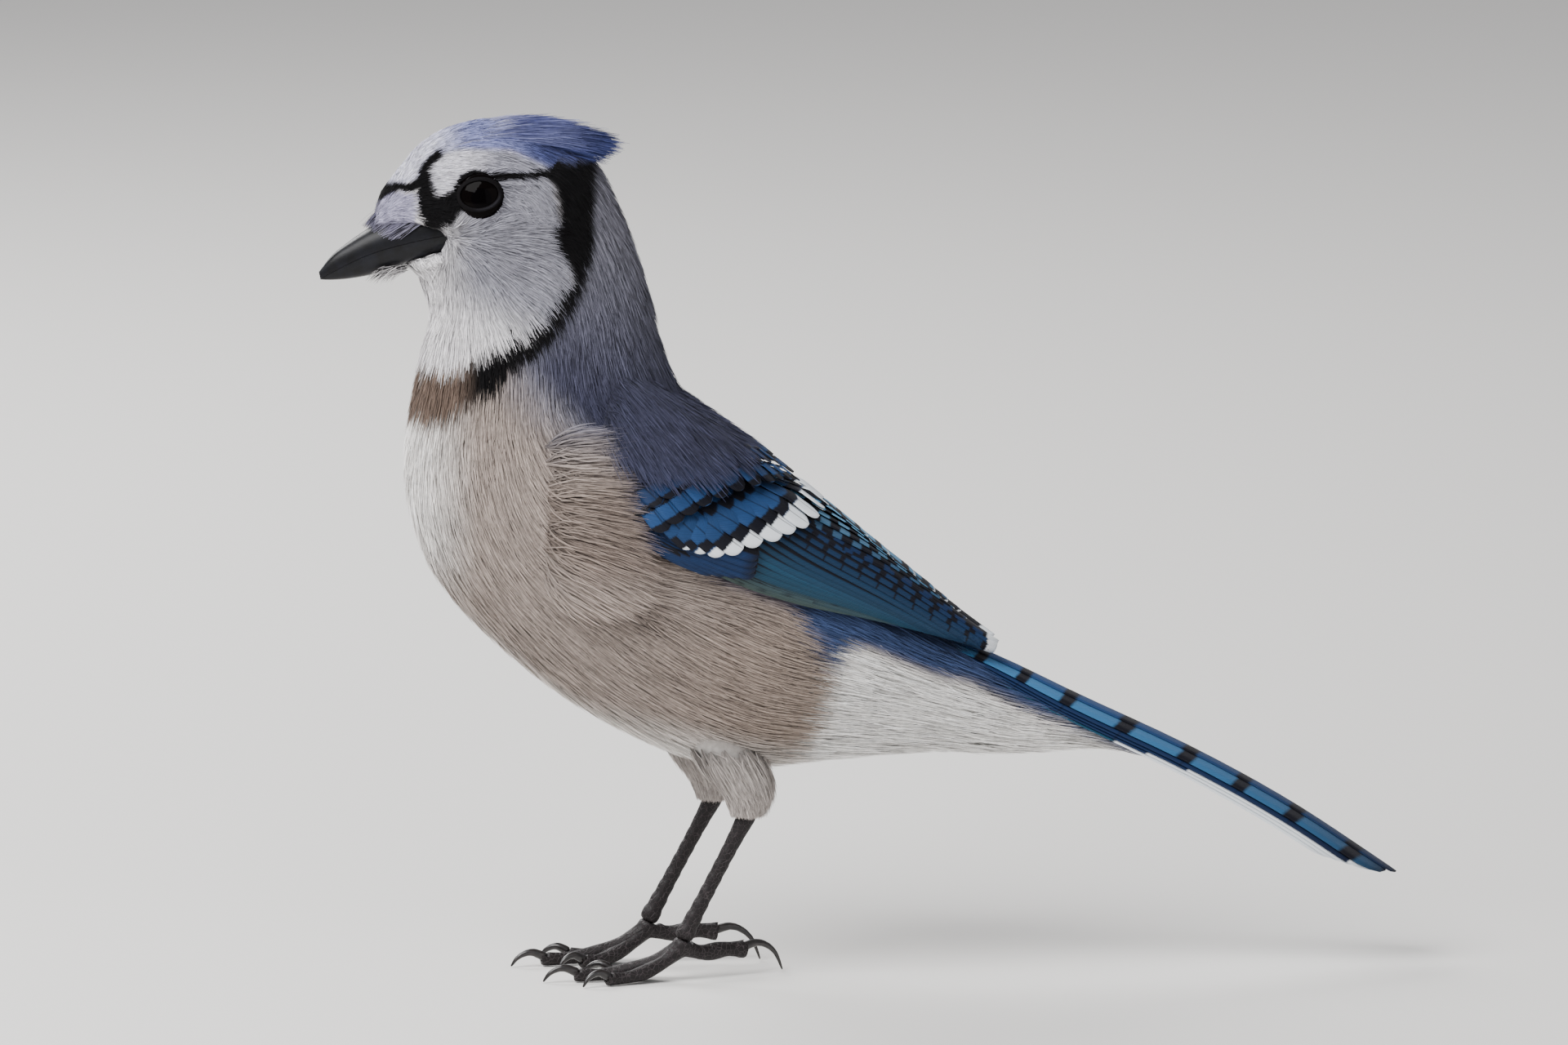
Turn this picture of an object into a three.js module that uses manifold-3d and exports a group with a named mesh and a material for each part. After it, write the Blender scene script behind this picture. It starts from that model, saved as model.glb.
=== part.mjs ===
// Blue jay, a still life-size model that stands on both feet, head up and tail low.
// Millimetres, +Z up. The bird faces -X and its left side is towards -Y. The floor is z = 0.
import * as THREE from "three";
import { mergeVertices } from "three/addons/utils/BufferGeometryUtils.js";
import Module from "manifold-3d";

const wasm = await Module();
wasm.setup();

// Driving dimensions
const GAP = 0.3; // between pieces that touch
const TRUNK_SIDES = 24; // corners of one ring of the trunk
const TRUNK_RINGS = 36;
const EYE = { x: -84.8, z: 175.2, radius: 5.4, flatness: 0.56, sink: 1.85 };
const LID = { long: 4.85, high: 4.4, thickness: 0.62 };
const FEATHER = { thickness: 0.75, tipBlunt: 0.72 };
const TARSUS = { radius: 1.55, sides: 10, scutes: 9, scuteLip: 0.28 };
const TOE = { sides: 7 };
const CLAW = { sides: 7, steps: 7, radius: 1.2, tip: 0.24 };

// Outline of the trunk from the undertail to the face. Each station has the point of the back,
// the point of the belly under it and half the width between them.
const TRUNK = [
  { back: [62.0, 50.6], belly: [66.5, 46.5], half: 5.0 },
  { back: [45.2, 58.9], belly: [56.1, 48.4], half: 9.5 },
  { back: [27.1, 69.4], belly: [33.5, 46.9], half: 14.0 },
  { back: [10.9, 81.0], belly: [12.7, 47.4], half: 18.5 },
  { back: [-1.8, 93.4], belly: [-9.0, 46.0], half: 22.5 },
  { back: [-14.5, 105.6], belly: [-32.6, 45.6], half: 26.0 },
  { back: [-26.2, 115.6], belly: [-57.9, 56.2], half: 28.0 },
  { back: [-34.0, 123.9], belly: [-79.6, 72.4], half: 28.0 },
  { back: [-39.3, 131.9], belly: [-94.1, 89.0], half: 26.5 },
  { back: [-43.1, 141.0], belly: [-100.1, 108.3], half: 23.0 },
  { back: [-45.8, 150.7], belly: [-98.6, 126.5], half: 18.8 },
  { back: [-49.2, 161.2], belly: [-95.9, 138.4], half: 15.8 },
  { back: [-53.0, 170.3], belly: [-93.9, 146.0], half: 14.6 },
  { back: [-56.7, 178.0], belly: [-94.9, 151.2], half: 14.4 },
  { back: [-61.5, 184.4], belly: [-96.9, 154.6], half: 14.5 },
  { back: [-68.5, 188.6], belly: [-99.6, 157.0], half: 14.0 },
  { back: [-77.0, 190.6], belly: [-102.2, 158.8], half: 12.0 },
  { back: [-86.0, 189.9], belly: [-104.2, 160.2], half: 9.4 },
  { back: [-94.0, 186.6], belly: [-105.6, 161.6], half: 7.0 },
  { back: [-100.6, 181.2], belly: [-106.8, 163.2], half: 5.0 },
  { back: [-105.4, 174.2], belly: [-107.6, 165.2], half: 3.4 },
];

// The thin cuts that part the trunk into torso, neck, head and tail base, as two points in the side view.
const CUTS = {
  neckBase: [[-38.0, 146.0], [-106.0, 118.0]],
  throat: [[-46.0, 173.0], [-104.0, 146.0]],
  crown: [[-50.0, 182.4], [-101.5, 184.4]],
  vent: [[30.0, 100.0], [16.0, 30.0]],
};

// Bill: upper edge, lower edge and half width, from the gape to the tip.
const MOUTH = { from: [-90.8, 166.2], to: [-107.0, 162.0], slit: 0.5 };
const BILL_UPPER = [
  { back: [-92.5, 171.5], belly: [-92.0, 166.2], half: 7.8 },
  { back: [-97.7, 171.1], belly: [-97.0, 164.9], half: 6.8 },
  { back: [-103.2, 169.2], belly: [-103.4, 163.2], half: 5.3 },
  { back: [-107.7, 166.6], belly: [-107.6, 161.7], half: 4.0 },
  { back: [-112.2, 163.6], belly: [-112.1, 159.6], half: 2.9 },
  { back: [-115.8, 160.8], belly: [-116.0, 157.3], half: 1.8 },
  { back: [-118.6, 157.4], belly: [-118.9, 155.4], half: 0.7 },
];
const BILL_LOWER = [
  { back: [-92.0, 165.7], belly: [-92.0, 161.2], half: 7.4 },
  { back: [-97.0, 164.4], belly: [-97.6, 159.6], half: 6.3 },
  { back: [-103.4, 162.7], belly: [-103.6, 157.4], half: 4.8 },
  { back: [-107.6, 161.2], belly: [-108.2, 156.1], half: 3.5 },
  { back: [-112.1, 159.1], belly: [-112.6, 155.6], half: 2.4 },
  { back: [-115.6, 157.1], belly: [-116.2, 155.4], half: 1.3 },
  { back: [-117.4, 156.2], belly: [-117.6, 155.6], half: 0.6 },
];

// Locks of bristles over the nostrils, from the face to the bill, on the side of +Y.
const BRISTLES = [
  { from: [-96.0, 7.0, 171.4], to: [-107.2, 4.4, 165.6] },
  { from: [-98.0, 5.4, 172.6], to: [-108.4, 3.0, 166.5] },
  { from: [-100.2, 2.8, 174.4], to: [-107.6, 1.1, 167.7] },
];

// A folded wing lies on a quarter shell between its top edge, near the back's middle, and its low edge.
const WING_TOP = [
  [-52, -3.0, 138.0], [-34.5, -4.0, 125.4], [-13.0, -3.2, 109.4], [7.0, -2.4, 92.2], [31.4, -1.2, 71.4],
];
const WING_LOW = [
  [-62, -27.5, 112.0], [-46.0, -30.0, 96.5], [-25.0, -27.0, 85.8], [3.0, -18.5, 77.2], [30.6, -5.4, 69.6],
];
const WING_CORE = { end: 0.66, low: 0.94, outside: 0.7, inside: 5.0, lengthSteps: 9, sideSteps: 6 };

// Rows of wing feathers, from the deepest row to the one on top. Roots and tips are places on the
// wing: the first number runs from the shoulder to the wing tip, the second from top to low edge.
const WING_ROWS = [
  {
    name: "primaries", count: 5, width: 6.8, lift: 0.4, step: 0.16,
    root: [[0.38, 0.98], [0.46, 0.84]], tip: [[0.78, 0.99], [0.985, 0.82]],
  },
  {
    name: "secondaries", count: 5, width: 9.4, lift: 1.4, step: 0.18,
    root: [[0.34, 0.84], [0.42, 0.36]], tip: [[0.90, 0.80], [0.975, 0.42]],
  },
  {
    name: "tertials", count: 3, width: 9.6, lift: 2.4, step: 0.3,
    root: [[0.42, 0.34], [0.45, 0.10]], tip: [[0.93, 0.36], [0.82, 0.16]],
  },
  {
    name: "primaryCoverts", count: 3, width: 6.6, lift: 1.6, step: 0.15, short: true,
    root: [[0.16, 0.93], [0.20, 0.80]], tip: [[0.44, 0.965], [0.48, 0.86]],
  },
  {
    name: "greaterCoverts", count: 7, width: 7.4, lift: 3.2, step: 0.08, short: true,
    root: [[0.12, 0.82], [0.29, 0.12]], tip: [[0.35, 0.82], [0.54, 0.10]],
  },
  {
    name: "medianCoverts", count: 6, width: 7.8, lift: 4.2, step: 0.08, short: true,
    root: [[0.05, 0.82], [0.16, 0.14]], tip: [[0.21, 0.82], [0.38, 0.13]],
  },
];
const WING_DIVE = { depth: 6.0, until: 0.24 }; // how the front of the wing sinks under the breast

// Tail: six feathers a side, the middle pair on top, folded into a shallow arch.
const TAIL = {
  line: [
    [14, 0, 76.2], [30.8, 0, 69.2], [48.9, 0, 60.2], [74.2, 0, 47.9], [95.9, 0, 35.6], [119.5, 0, 19.6],
  ],
  thickness: 0.62,
  pairs: 6,
  width: 12.0,
  spread: 1.75,
  drop: 0.52,
  arch: 0.02,
  shorter: 2.7,
  rootAt: 0.15, // share of the line where the feathers leave the tail's base
};

// Crest: rows of feathers from the forehead to the nape, each given by the side view of its middle
// feather. Across gives how far to each side the feathers of a row stand.
const CREST_ROWS = [
  { root: [-92.0, 186.4], tip: [-75.5, 191.2], width: 6.0, across: [-0.5, 0, 0.5] },
  { root: [-84.5, 188.8], tip: [-66.0, 190.2], width: 6.4, across: [-0.75, -0.25, 0.25, 0.75] },
  { root: [-76.5, 188.8], tip: [-58.0, 187.7], width: 6.2, across: [-0.85, -0.4, 0, 0.4, 0.85] },
  { root: [-70.0, 187.2], tip: [-52.6, 185.0], width: 5.6, across: [-0.8, -0.3, 0.3, 0.8] },
];
const CREST = { reach: 6.4, bow: 1.0, fall: 0.045, thickness: 0.9 };

// Legs, the left one first. The right foot stands a little ahead of the left one. Each hind toe is
// held up over its claw, by rise.
const LEGS = [
  {
    side: "left", y: -12.5, hip: [-30.0, 60.0], ankle: [-25.4, 37.2], heel: [-40.1, 9.1], turn: 1,
    hind: { angle: 203, rise: 3.4 },
  },
  {
    side: "right", y: 11.5, hip: [-34.0, 60.0], ankle: [-30.4, 37.2], heel: [-45.4, 9.3], turn: -7,
    hind: { angle: 187, rise: 4.4 },
  },
];
// Toes: direction from straight ahead, length, radius at the root and at the tip, and reach of the claw.
const TOES = [
  { name: "hind", angle: 190, length: 15.6, root: 2.0, tip: 2.0, claw: 10.4, lift: 1.3 },
  { name: "inner", angle: -17, length: 17.0, root: 1.9, tip: 1.5, claw: 6.6, lift: 0.4 },
  { name: "middle", angle: 0, length: 24.0, root: 2.0, tip: 1.55, claw: 7.8, lift: 0.4 },
  { name: "outer", angle: 20, length: 18.5, root: 1.9, tip: 1.5, claw: 6.6, lift: 0.4 },
];

// Shapes
const vec = (x, y, z) => new THREE.Vector3(x, y, z);
const lerp = THREE.MathUtils.lerp;
const radians = THREE.MathUtils.degToRad;

// A closed triangle mesh with its faces turned outwards.
function closedGeometry(points, faces) {
  let volume = 0;
  for (const [a, b, c] of faces) volume += points[a].dot(points[b].clone().cross(points[c]));
  const turned = volume < 0 ? faces.map(([a, b, c]) => [a, c, b]) : faces;
  const geometry = new THREE.BufferGeometry();
  const places = points.flatMap((p) => p.toArray());
  geometry.setAttribute("position", new THREE.Float32BufferAttribute(places, 3));
  geometry.setIndex(turned.flat());
  return geometry;
}

// Joins rings of the same number of points into a closed skin, with a point in the middle of each end.
function loft(rings) {
  const sides = rings[0].length;
  const points = rings.flat();
  const faces = [];
  for (let r = 0; r + 1 < rings.length; r++) {
    for (let s = 0; s < sides; s++) {
      const a = r * sides + s;
      const b = r * sides + ((s + 1) % sides);
      faces.push([a, b, b + sides], [a, b + sides, a + sides]);
    }
  }
  for (const [ring, flip] of [[0, true], [rings.length - 1, false]]) {
    const middle = rings[ring].reduce((sum, p) => sum.add(p), vec(0, 0, 0)).divideScalar(sides);
    points.push(middle);
    for (let s = 0; s < sides; s++) {
      const a = ring * sides + s;
      const b = ring * sides + ((s + 1) % sides);
      faces.push(flip ? [b, a, points.length - 1] : [a, b, points.length - 1]);
    }
  }
  return closedGeometry(points, faces);
}

// A body with an oval section between a back line and a belly line. grow makes it larger all round.
function ladderLoft(stations, { rings, sides, grow = 0, fullness = 1 }) {
  const line = (pick) => new THREE.CatmullRomCurve3(stations.map(pick));
  const back = line((s) => vec(s.back[0], s.half, s.back[1]));
  const belly = line((s) => vec(s.belly[0], s.half, s.belly[1]));
  const made = [];
  for (let r = 0; r <= rings; r++) {
    const top = back.getPoint(r / rings);
    const low = belly.getPoint(r / rings);
    const half = top.y + grow;
    top.y = 0;
    low.y = 0;
    const middle = top.clone().add(low).multiplyScalar(0.5);
    const up = top.clone().sub(low).multiplyScalar(0.5);
    up.setLength(up.length() + grow);
    const ring = [];
    for (let s = 0; s < sides; s++) {
      const turn = (2 * Math.PI * (s + 0.5)) / sides;
      const rise = Math.sign(Math.cos(turn)) * Math.abs(Math.cos(turn)) ** fullness;
      const out = Math.sign(Math.sin(turn)) * Math.abs(Math.sin(turn)) ** fullness;
      ring.push(middle.clone().addScaledVector(up, rise).add(vec(0, half * out, 0)));
    }
    made.push(ring);
  }
  return loft(made);
}

// A round tube through points, with a radius for each.
function tube(path, radii, sides, flatBelow = null) {
  const curve = new THREE.CatmullRomCurve3(path);
  const sideways = path[0].clone().sub(path.at(-1)).cross(vec(0, 0, 1));
  if (sideways.lengthSq() < 1e-6) sideways.set(0, 1, 0);
  sideways.normalize();
  const rings = radii.map((radius, i) => {
    const at = i / (radii.length - 1);
    const centre = curve.getPoint(at);
    const along = curve.getTangent(at);
    const out = sideways.clone().addScaledVector(along, -sideways.dot(along)).normalize();
    const up = along.clone().cross(out);
    return Array.from({ length: sides }, (_, s) => {
      const turn = (2 * Math.PI * (s + 0.5)) / sides;
      const p = centre.clone().addScaledVector(out, radius * Math.cos(turn));
      p.addScaledVector(up, radius * Math.sin(turn));
      if (flatBelow !== null) p.z = Math.max(p.z, flatBelow);
      return p;
    });
  });
  return loft(rings);
}

// Solids
function solid(geometry) {
  const bare = new THREE.BufferGeometry();
  bare.setAttribute("position", geometry.getAttribute("position"));
  if (geometry.index) bare.setIndex(geometry.index);
  const merged = mergeVertices(bare, 1e-4);
  const vertProperties = merged.attributes.position.array;
  const triVerts = new Uint32Array(merged.index.array);
  return new wasm.Manifold(new wasm.Mesh({ numProp: 3, vertProperties, triVerts }));
}
const fuse = (geometries) => wasm.Manifold.union(geometries.map(solid));
const largest = (made) => made.decompose().sort((a, b) => b.volume() - a.volume())[0];

function geometryOf(made) {
  const mesh = made.getMesh();
  const geometry = new THREE.BufferGeometry();
  geometry.setAttribute("position", new THREE.Float32BufferAttribute(mesh.vertProperties, mesh.numProp));
  geometry.setIndex(Array.from(mesh.triVerts));
  return geometry;
}

// A flat knife of the gap's thickness through two points of the side view.
function knife([[x0, z0], [x1, z1]]) {
  const blade = new THREE.BoxGeometry(Math.hypot(x1 - x0, z1 - z0) * 2, 120, GAP);
  blade.rotateY(-Math.atan2(z1 - z0, x1 - x0));
  blade.translate((x0 + x1) / 2, 0, (z0 + z1) / 2);
  return solid(blade);
}

// The piece of a cut solid that holds the most material on one side of a cut.
function pieceNear(made, [x, z]) {
  const distance = (piece) => {
    const { min, max } = piece.boundingBox();
    return Math.hypot((min[0] + max[0]) / 2 - x, (min[2] + max[2]) / 2 - z);
  };
  const pieces = made.decompose().filter((piece) => piece.volume() > 50);
  return pieces.sort((a, b) => distance(a) - distance(b))[0];
}

// A feather: a thin plate that follows place(along, across) and ends in a rounded tip, whose share
// of the length is tip. The quads are split alike on both faces.
const plainFeather = { tip: 0.2, body: [0, 0.5], rounded: [0, 0.7, 1], thickness: FEATHER.thickness };
function feather(place, width, options) {
  const { tip, body, rounded, thickness } = { ...plainFeather, ...options };
  const roundOff = (share) => Math.max(0.26, Math.sqrt(1 - share * share));
  const across = [-1, 1];
  const rows = [
    ...body.map((share) => ({ along: share * (1 - tip), half: lerp(0.6, 1, Math.min(1, share * 2)) })),
    ...rounded.map((share) => ({ along: lerp(1 - tip, 1, share), half: roundOff(share) })),
  ];
  const points = [];
  for (const face of [1, -1]) {
    for (const { along, half } of rows) {
      for (const a of across) {
        const { point, normal } = place(along, a * half * width * 0.5);
        points.push(point.clone().addScaledVector(normal, (face * thickness * lerp(1, 0.75, along)) / 2));
      }
    }
  }
  const columns = across.length;
  const layer = rows.length * columns;
  const faces = [];
  const quad = (a, b, c, d) => faces.push([a, b, c], [a, c, d]);
  for (let i = 0; i + 1 < rows.length; i++) {
    const first = i * columns;
    const last = first + columns - 1;
    for (let a = first; a < last; a++) {
      quad(a, a + 1, a + 1 + columns, a + columns);
      const under = layer + a;
      faces.push([under, under + 1 + columns, under + 1], [under, under + columns, under + 1 + columns]);
    }
    quad(first, first + columns, layer + first + columns, layer + first);
    quad(last, layer + last, layer + last + columns, last + columns);
  }
  for (let a = 0; a + 1 < columns; a++) {
    quad(a, layer + a, layer + a + 1, a + 1);
    const b = (rows.length - 1) * columns + a;
    quad(b, b + 1, layer + b + 1, layer + b);
  }
  return closedGeometry(points, faces);
}

// Trunk
const trunkOptions = { rings: TRUNK_RINGS, sides: TRUNK_SIDES, fullness: 0.94 };
const trunk = solid(ladderLoft(TRUNK, trunkOptions));
const trunkGrown = solid(ladderLoft(TRUNK, { ...trunkOptions, grow: GAP }));

// Where a line across the bird meets the trunk's left side, and the direction the skin faces there.
const bothFaces = new THREE.MeshBasicMaterial({ side: THREE.DoubleSide });
const trunkSkin = new THREE.Mesh(ladderLoft(TRUNK, trunkOptions), bothFaces);
function skinSite(x, z) {
  const [hit] = new THREE.Raycaster(vec(x, -60, z), vec(0, 1, 0)).intersectObject(trunkSkin);
  return { point: hit.point, normal: hit.face.normal.clone() };
}

// Eyes: flattened balls that look out square to the skin, with lids that ring the opening.
const eyeSite = skinSite(EYE.x, EYE.z);
const mirrored = (p, sign) => vec(p.x, -sign * p.y, p.z);
function eyeBall(sign, grow = 0) {
  const ball = new THREE.SphereGeometry(EYE.radius + grow, 16, 10);
  ball.scale(1, EYE.flatness, 1);
  const facing = mirrored(eyeSite.normal, sign);
  ball.applyQuaternion(new THREE.Quaternion().setFromUnitVectors(vec(0, sign, 0), facing));
  const centre = mirrored(eyeSite.point, sign).addScaledVector(facing, -EYE.sink);
  return ball.translate(centre.x, centre.y, centre.z);
}
function eyeLid(sign) {
  const ring = Array.from({ length: 16 }, (_, i) => {
    const turn = (i / 16) * Math.PI * 2;
    const { point } = skinSite(EYE.x + LID.long * Math.cos(turn), EYE.z + LID.high * Math.sin(turn));
    return mirrored(point, sign);
  });
  return new THREE.TubeGeometry(new THREE.CatmullRomCurve3(ring, true), 18, LID.thickness, 5, true);
}

// Bill
const billOptions = { rings: 12, sides: 12 };
const billUpper = ladderLoft(BILL_UPPER, billOptions);
const billLower = ladderLoft(BILL_LOWER, billOptions);
const billGrown = { ...billOptions, grow: GAP };
const billRoom = fuse([BILL_UPPER, BILL_LOWER].map((bill) => ladderLoft(bill, billGrown)));

// The face stands back from both sides of the bill as far as the gape.
const broad = (bill) => bill.map((station) => ({ ...station, half: 24 }));
const billSides = fuse([BILL_UPPER, BILL_LOWER].map((bill) => ladderLoft(broad(bill), billGrown)));

// The line of the mouth runs back into the face as a thin slit.
function mouthSlit() {
  const [[x0, z0], [x1, z1]] = [MOUTH.from, MOUTH.to];
  const slit = new THREE.BoxGeometry(Math.hypot(x1 - x0, z1 - z0), 60, MOUTH.slit);
  slit.rotateY(-Math.atan2(z1 - z0, x1 - x0));
  return slit.translate((x0 + x1) / 2, 0, (z0 + z1) / 2);
}

// Bristles over the nostrils: short flat locks that lie forwards along each side of the bill.
function nasalBristles(sign) {
  return BRISTLES.map(({ from, to }) => {
    const start = vec(from[0], sign * from[1], from[2]);
    const end = vec(to[0], sign * to[1], to[2]);
    const bend = start.clone().lerp(end, 0.5).add(vec(0, sign * 0.5, 0.5));
    return tube([start, bend, end], [1.5, 1.3, 0.9, 0.4], 6);
  });
}

// Head, neck, torso and the base of the tail, parted by the knife
const cuts = [CUTS.neckBase, CUTS.throat, CUTS.vent];
const parted = cuts.reduce((made, cut) => made.subtract(knife(cut)), trunk);
const torsoPiece = pieceNear(parted, [-50, 90]);
const neckPiece = pieceNear(parted, [-72, 145]);
const tailStub = pieceNear(parted, [40, 60]);
const headWhole = pieceNear(parted, [-80, 172]);
const headParts = headWhole.subtract(knife(CUTS.crown));
const crownPiece = pieceNear(headParts, [-78, 188]);
const skull = pieceNear(headParts, [-80, 168]);

function makeHead() {
  const lids = fuse([eyeLid(-1), eyeLid(1)]);
  const bristles = fuse([...nasalBristles(-1), ...nasalBristles(1)]);
  const face = skull.subtract(solid(mouthSlit())).subtract(billSides).add(lids).add(bristles);
  return largest(face.subtract(billRoom).subtract(fuse([eyeBall(-1, GAP), eyeBall(1, GAP)])));
}

// Crest feathers stand on the crown piece and reach past the nape.
function makeCrest() {
  const feathers = CREST_ROWS.flatMap((row) => {
    const root = vec(row.root[0], 0, row.root[1]);
    const tip = vec(row.tip[0], 0, row.tip[1]);
    const up = vec(0, 1, 0).cross(root.clone().sub(tip)).normalize();
    return row.across.map((across) =>
      feather(
        (along, out) => {
          const y = across * (CREST.reach + along * 0.6) + out;
          const point = root.clone().lerp(tip, along * (1 - 0.14 * Math.abs(across)));
          point.addScaledVector(up, CREST.bow * Math.sin(Math.PI * along) - CREST.fall * y * y);
          point.y = y;
          return { point, normal: up.clone().add(vec(0, 2 * CREST.fall * y, 0)).normalize() };
        },
        row.width,
        { tip: 0.5, body: [0], thickness: CREST.thickness },
      ),
    );
  });
  return largest(crownPiece.add(fuse(feathers)).subtract(solid(crownBlock())));
}

// Everything under the crown cut, which the crest keeps clear of.
function crownBlock() {
  const [[x0, z0], [x1, z1]] = CUTS.crown;
  const depth = 30;
  const block = new THREE.BoxGeometry(Math.abs(x1 - x0) + 14, 60, depth);
  block.translate(0, 0, -depth / 2 + GAP / 2);
  block.rotateY(Math.atan2(z1 - z0, x0 - x1));
  block.translate((x0 + x1) / 2 - 6, 0, (z0 + z1) / 2);
  return block;
}

// Wings
const wingCurves = (sign) => ({
  top: new THREE.CatmullRomCurve3(WING_TOP.map(([x, y, z]) => vec(x, -sign * y, z))),
  low: new THREE.CatmullRomCurve3(WING_LOW.map(([x, y, z]) => vec(x, -sign * y, z))),
});

// A place on the wing's quarter shell with its outward normal.
function wingPlace({ top, low }, u, v, lift) {
  const at = (p, q) => {
    const a = top.getPoint(THREE.MathUtils.clamp(p, 0, 1));
    const b = low.getPoint(THREE.MathUtils.clamp(p, 0, 1));
    const turn = q * Math.PI * 0.5;
    return vec(lerp(a.x, b.x, q), lerp(a.y, b.y, Math.sin(turn)), lerp(a.z, b.z, 1 - Math.cos(turn)));
  };
  const step = 0.02;
  const point = at(u, v);
  const alongU = at(u + step, v).sub(at(u - step, v));
  const alongV = at(u, v + step).sub(at(u, v - step));
  const normal = alongU.cross(alongV).normalize();
  const outside = vec(0, Math.sign(low.points[0].y) * 1, 0.4);
  if (normal.dot(outside) < 0) normal.negate();
  const dive = WING_DIVE.depth * (1 - THREE.MathUtils.smoothstep(u, 0, WING_DIVE.until));
  return { point: point.addScaledVector(normal, lift - dive), normal };
}

function wingFeathers(curves) {
  return WING_ROWS.flatMap((row) =>
    Array.from({ length: row.count }, (_, i) => {
      const share = row.count > 1 ? i / (row.count - 1) : 0;
      const between = ([first, last]) => first.map((value, k) => lerp(value, last[k], share));
      const root = between(row.root);
      const tip = between(row.tip);
      const [start, end] = [root, tip].map(([u, v]) => wingPlace(curves, u, v, 0).point);
      const shape = {
        tip: Math.min(0.5, (FEATHER.tipBlunt * row.width) / start.distanceTo(end)),
        body: row.short ? [0] : [0, 0.5],
      };
      return feather((along, out) => {
        const u = lerp(root[0], tip[0], along);
        const v = lerp(root[1], tip[1], along);
        const sunk = lerp(-0.3, 1, Math.min(1, along * 2));
        const lift = row.lift * sunk + row.step * i + (0.55 * out) / row.width;
        return wingPlace(curves, u, v + out / wingArc(curves, u), lift * lerp(1, 0.55, u));
      }, row.width, shape);
    }),
  );
}

// Length of the quarter shell across the wing at a place along it.
function wingArc({ top, low }, u) {
  const a = top.getPoint(u);
  const b = low.getPoint(u);
  return Math.max(6, 1.11 * Math.hypot(b.y - a.y, b.z - a.z));
}

function wingCore(curves) {
  const { lengthSteps, sideSteps, end, low, outside, inside } = WING_CORE;
  const rings = [];
  for (let i = 0; i <= lengthSteps; i++) {
    const u = lerp(0.03, end, i / lengthSteps);
    const thin = 1 - 0.6 * (i / lengthSteps);
    const outer = [];
    const inner = [];
    for (let j = 0; j <= sideSteps; j++) {
      const v = lerp(0.05, low, j / sideSteps);
      outer.push(wingPlace(curves, u, v, outside * thin + 1.0 * (1 - thin * 0.5)).point);
      inner.push(wingPlace(curves, u, v, -inside * thin).point);
    }
    rings.push([...outer, ...inner.reverse()]);
  }
  return loft(rings);
}

function makeWing(sign) {
  const curves = wingCurves(sign);
  const made = fuse([wingCore(curves), ...wingFeathers(curves)]);
  return largest(made.subtract(trunkGrown));
}

// Tail feathers, with grow for the room they need in the base of the tail
function makeTail(grow = 0) {
  const line = new THREE.CatmullRomCurve3(TAIL.line.map(([x, y, z]) => vec(x, y, z)));
  const length = line.getLength();
  const feathers = [];
  for (let pair = 0; pair < TAIL.pairs; pair++) {
    for (const sign of [-1, 1]) {
      const end = 1 - (TAIL.shorter * pair) / length;
      const middle = sign * (0.6 + TAIL.spread * pair);
      feathers.push(
        feather(
          (along, out) => {
            const at = lerp(TAIL.rootAt - grow / length, end, along);
            const point = line.getPointAt(at);
            const flow = line.getTangentAt(at);
            const up = flow.clone().cross(vec(0, 1, 0)).normalize();
            const y = middle * lerp(0.35, 1, Math.min(1, along * 1.4)) + out;
            const layer = -TAIL.drop * (pair + (sign > 0 ? 0.5 : 0)) - TAIL.arch * y * y;
            point.addScaledVector(up, layer);
            point.y = y;
            return { point, normal: up.add(vec(0, 2 * TAIL.arch * y, 0)).normalize() };
          },
          TAIL.width * (1 - 0.03 * pair) + 2 * grow,
          {
            tip: (FEATHER.tipBlunt * TAIL.width) / length,
            body: [0, 0.33, 0.66],
            thickness: TAIL.thickness + 3 * grow,
          },
        ),
      );
    }
  }
  return fuse(feathers);
}

// Legs and feet
function footSpot(leg, forward, aside, height) {
  const turn = radians(leg.turn);
  const [heelX] = leg.heel;
  return vec(
    heelX - forward * Math.cos(turn) + aside * Math.sin(turn) * Math.sign(leg.y),
    leg.y + Math.sign(leg.y) * (forward * Math.sin(turn) + aside * Math.cos(turn)),
    height,
  );
}

function toesOf(leg) {
  return TOES.map((toe) => (toe.name === "hind" ? { ...toe, ...leg.hind } : { ...toe, rise: 0 }));
}

function makeTarsus(leg) {
  const top = vec(leg.ankle[0], leg.y, leg.ankle[1]);
  const end = vec(leg.heel[0], leg.y, leg.heel[1]);
  const path = [];
  const radii = [];
  for (let i = 0; i <= TARSUS.scutes; i++) {
    const swell = 1 + 0.35 * (Math.abs(i / TARSUS.scutes - 0.5) * 2) ** 3;
    for (const [shift, lip] of [[0, TARSUS.scuteLip], [0.8, 0]]) {
      path.push(top.clone().lerp(end, Math.min(1, (i + shift) / (TARSUS.scutes + 0.8))));
      radii.push(TARSUS.radius * swell + lip);
    }
  }
  return tube(path, radii, TARSUS.sides);
}

function toePath(leg, toe) {
  const turn = radians(toe.angle);
  const spot = (reach, height) => footSpot(leg, reach * Math.cos(turn), reach * Math.sin(turn), height);
  const ground = toe.root + toe.lift;
  return [
    vec(leg.heel[0], leg.y, leg.heel[1] - 1.6),
    spot(toe.length * 0.32, Math.max(ground + toe.rise * 0.7, lerp(leg.heel[1] - 1.6, ground, 0.75))),
    spot(toe.length * 0.68, toe.tip + toe.lift * 0.5 + toe.rise),
    spot(toe.length, toe.tip + 0.1 + toe.rise),
  ];
}

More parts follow.
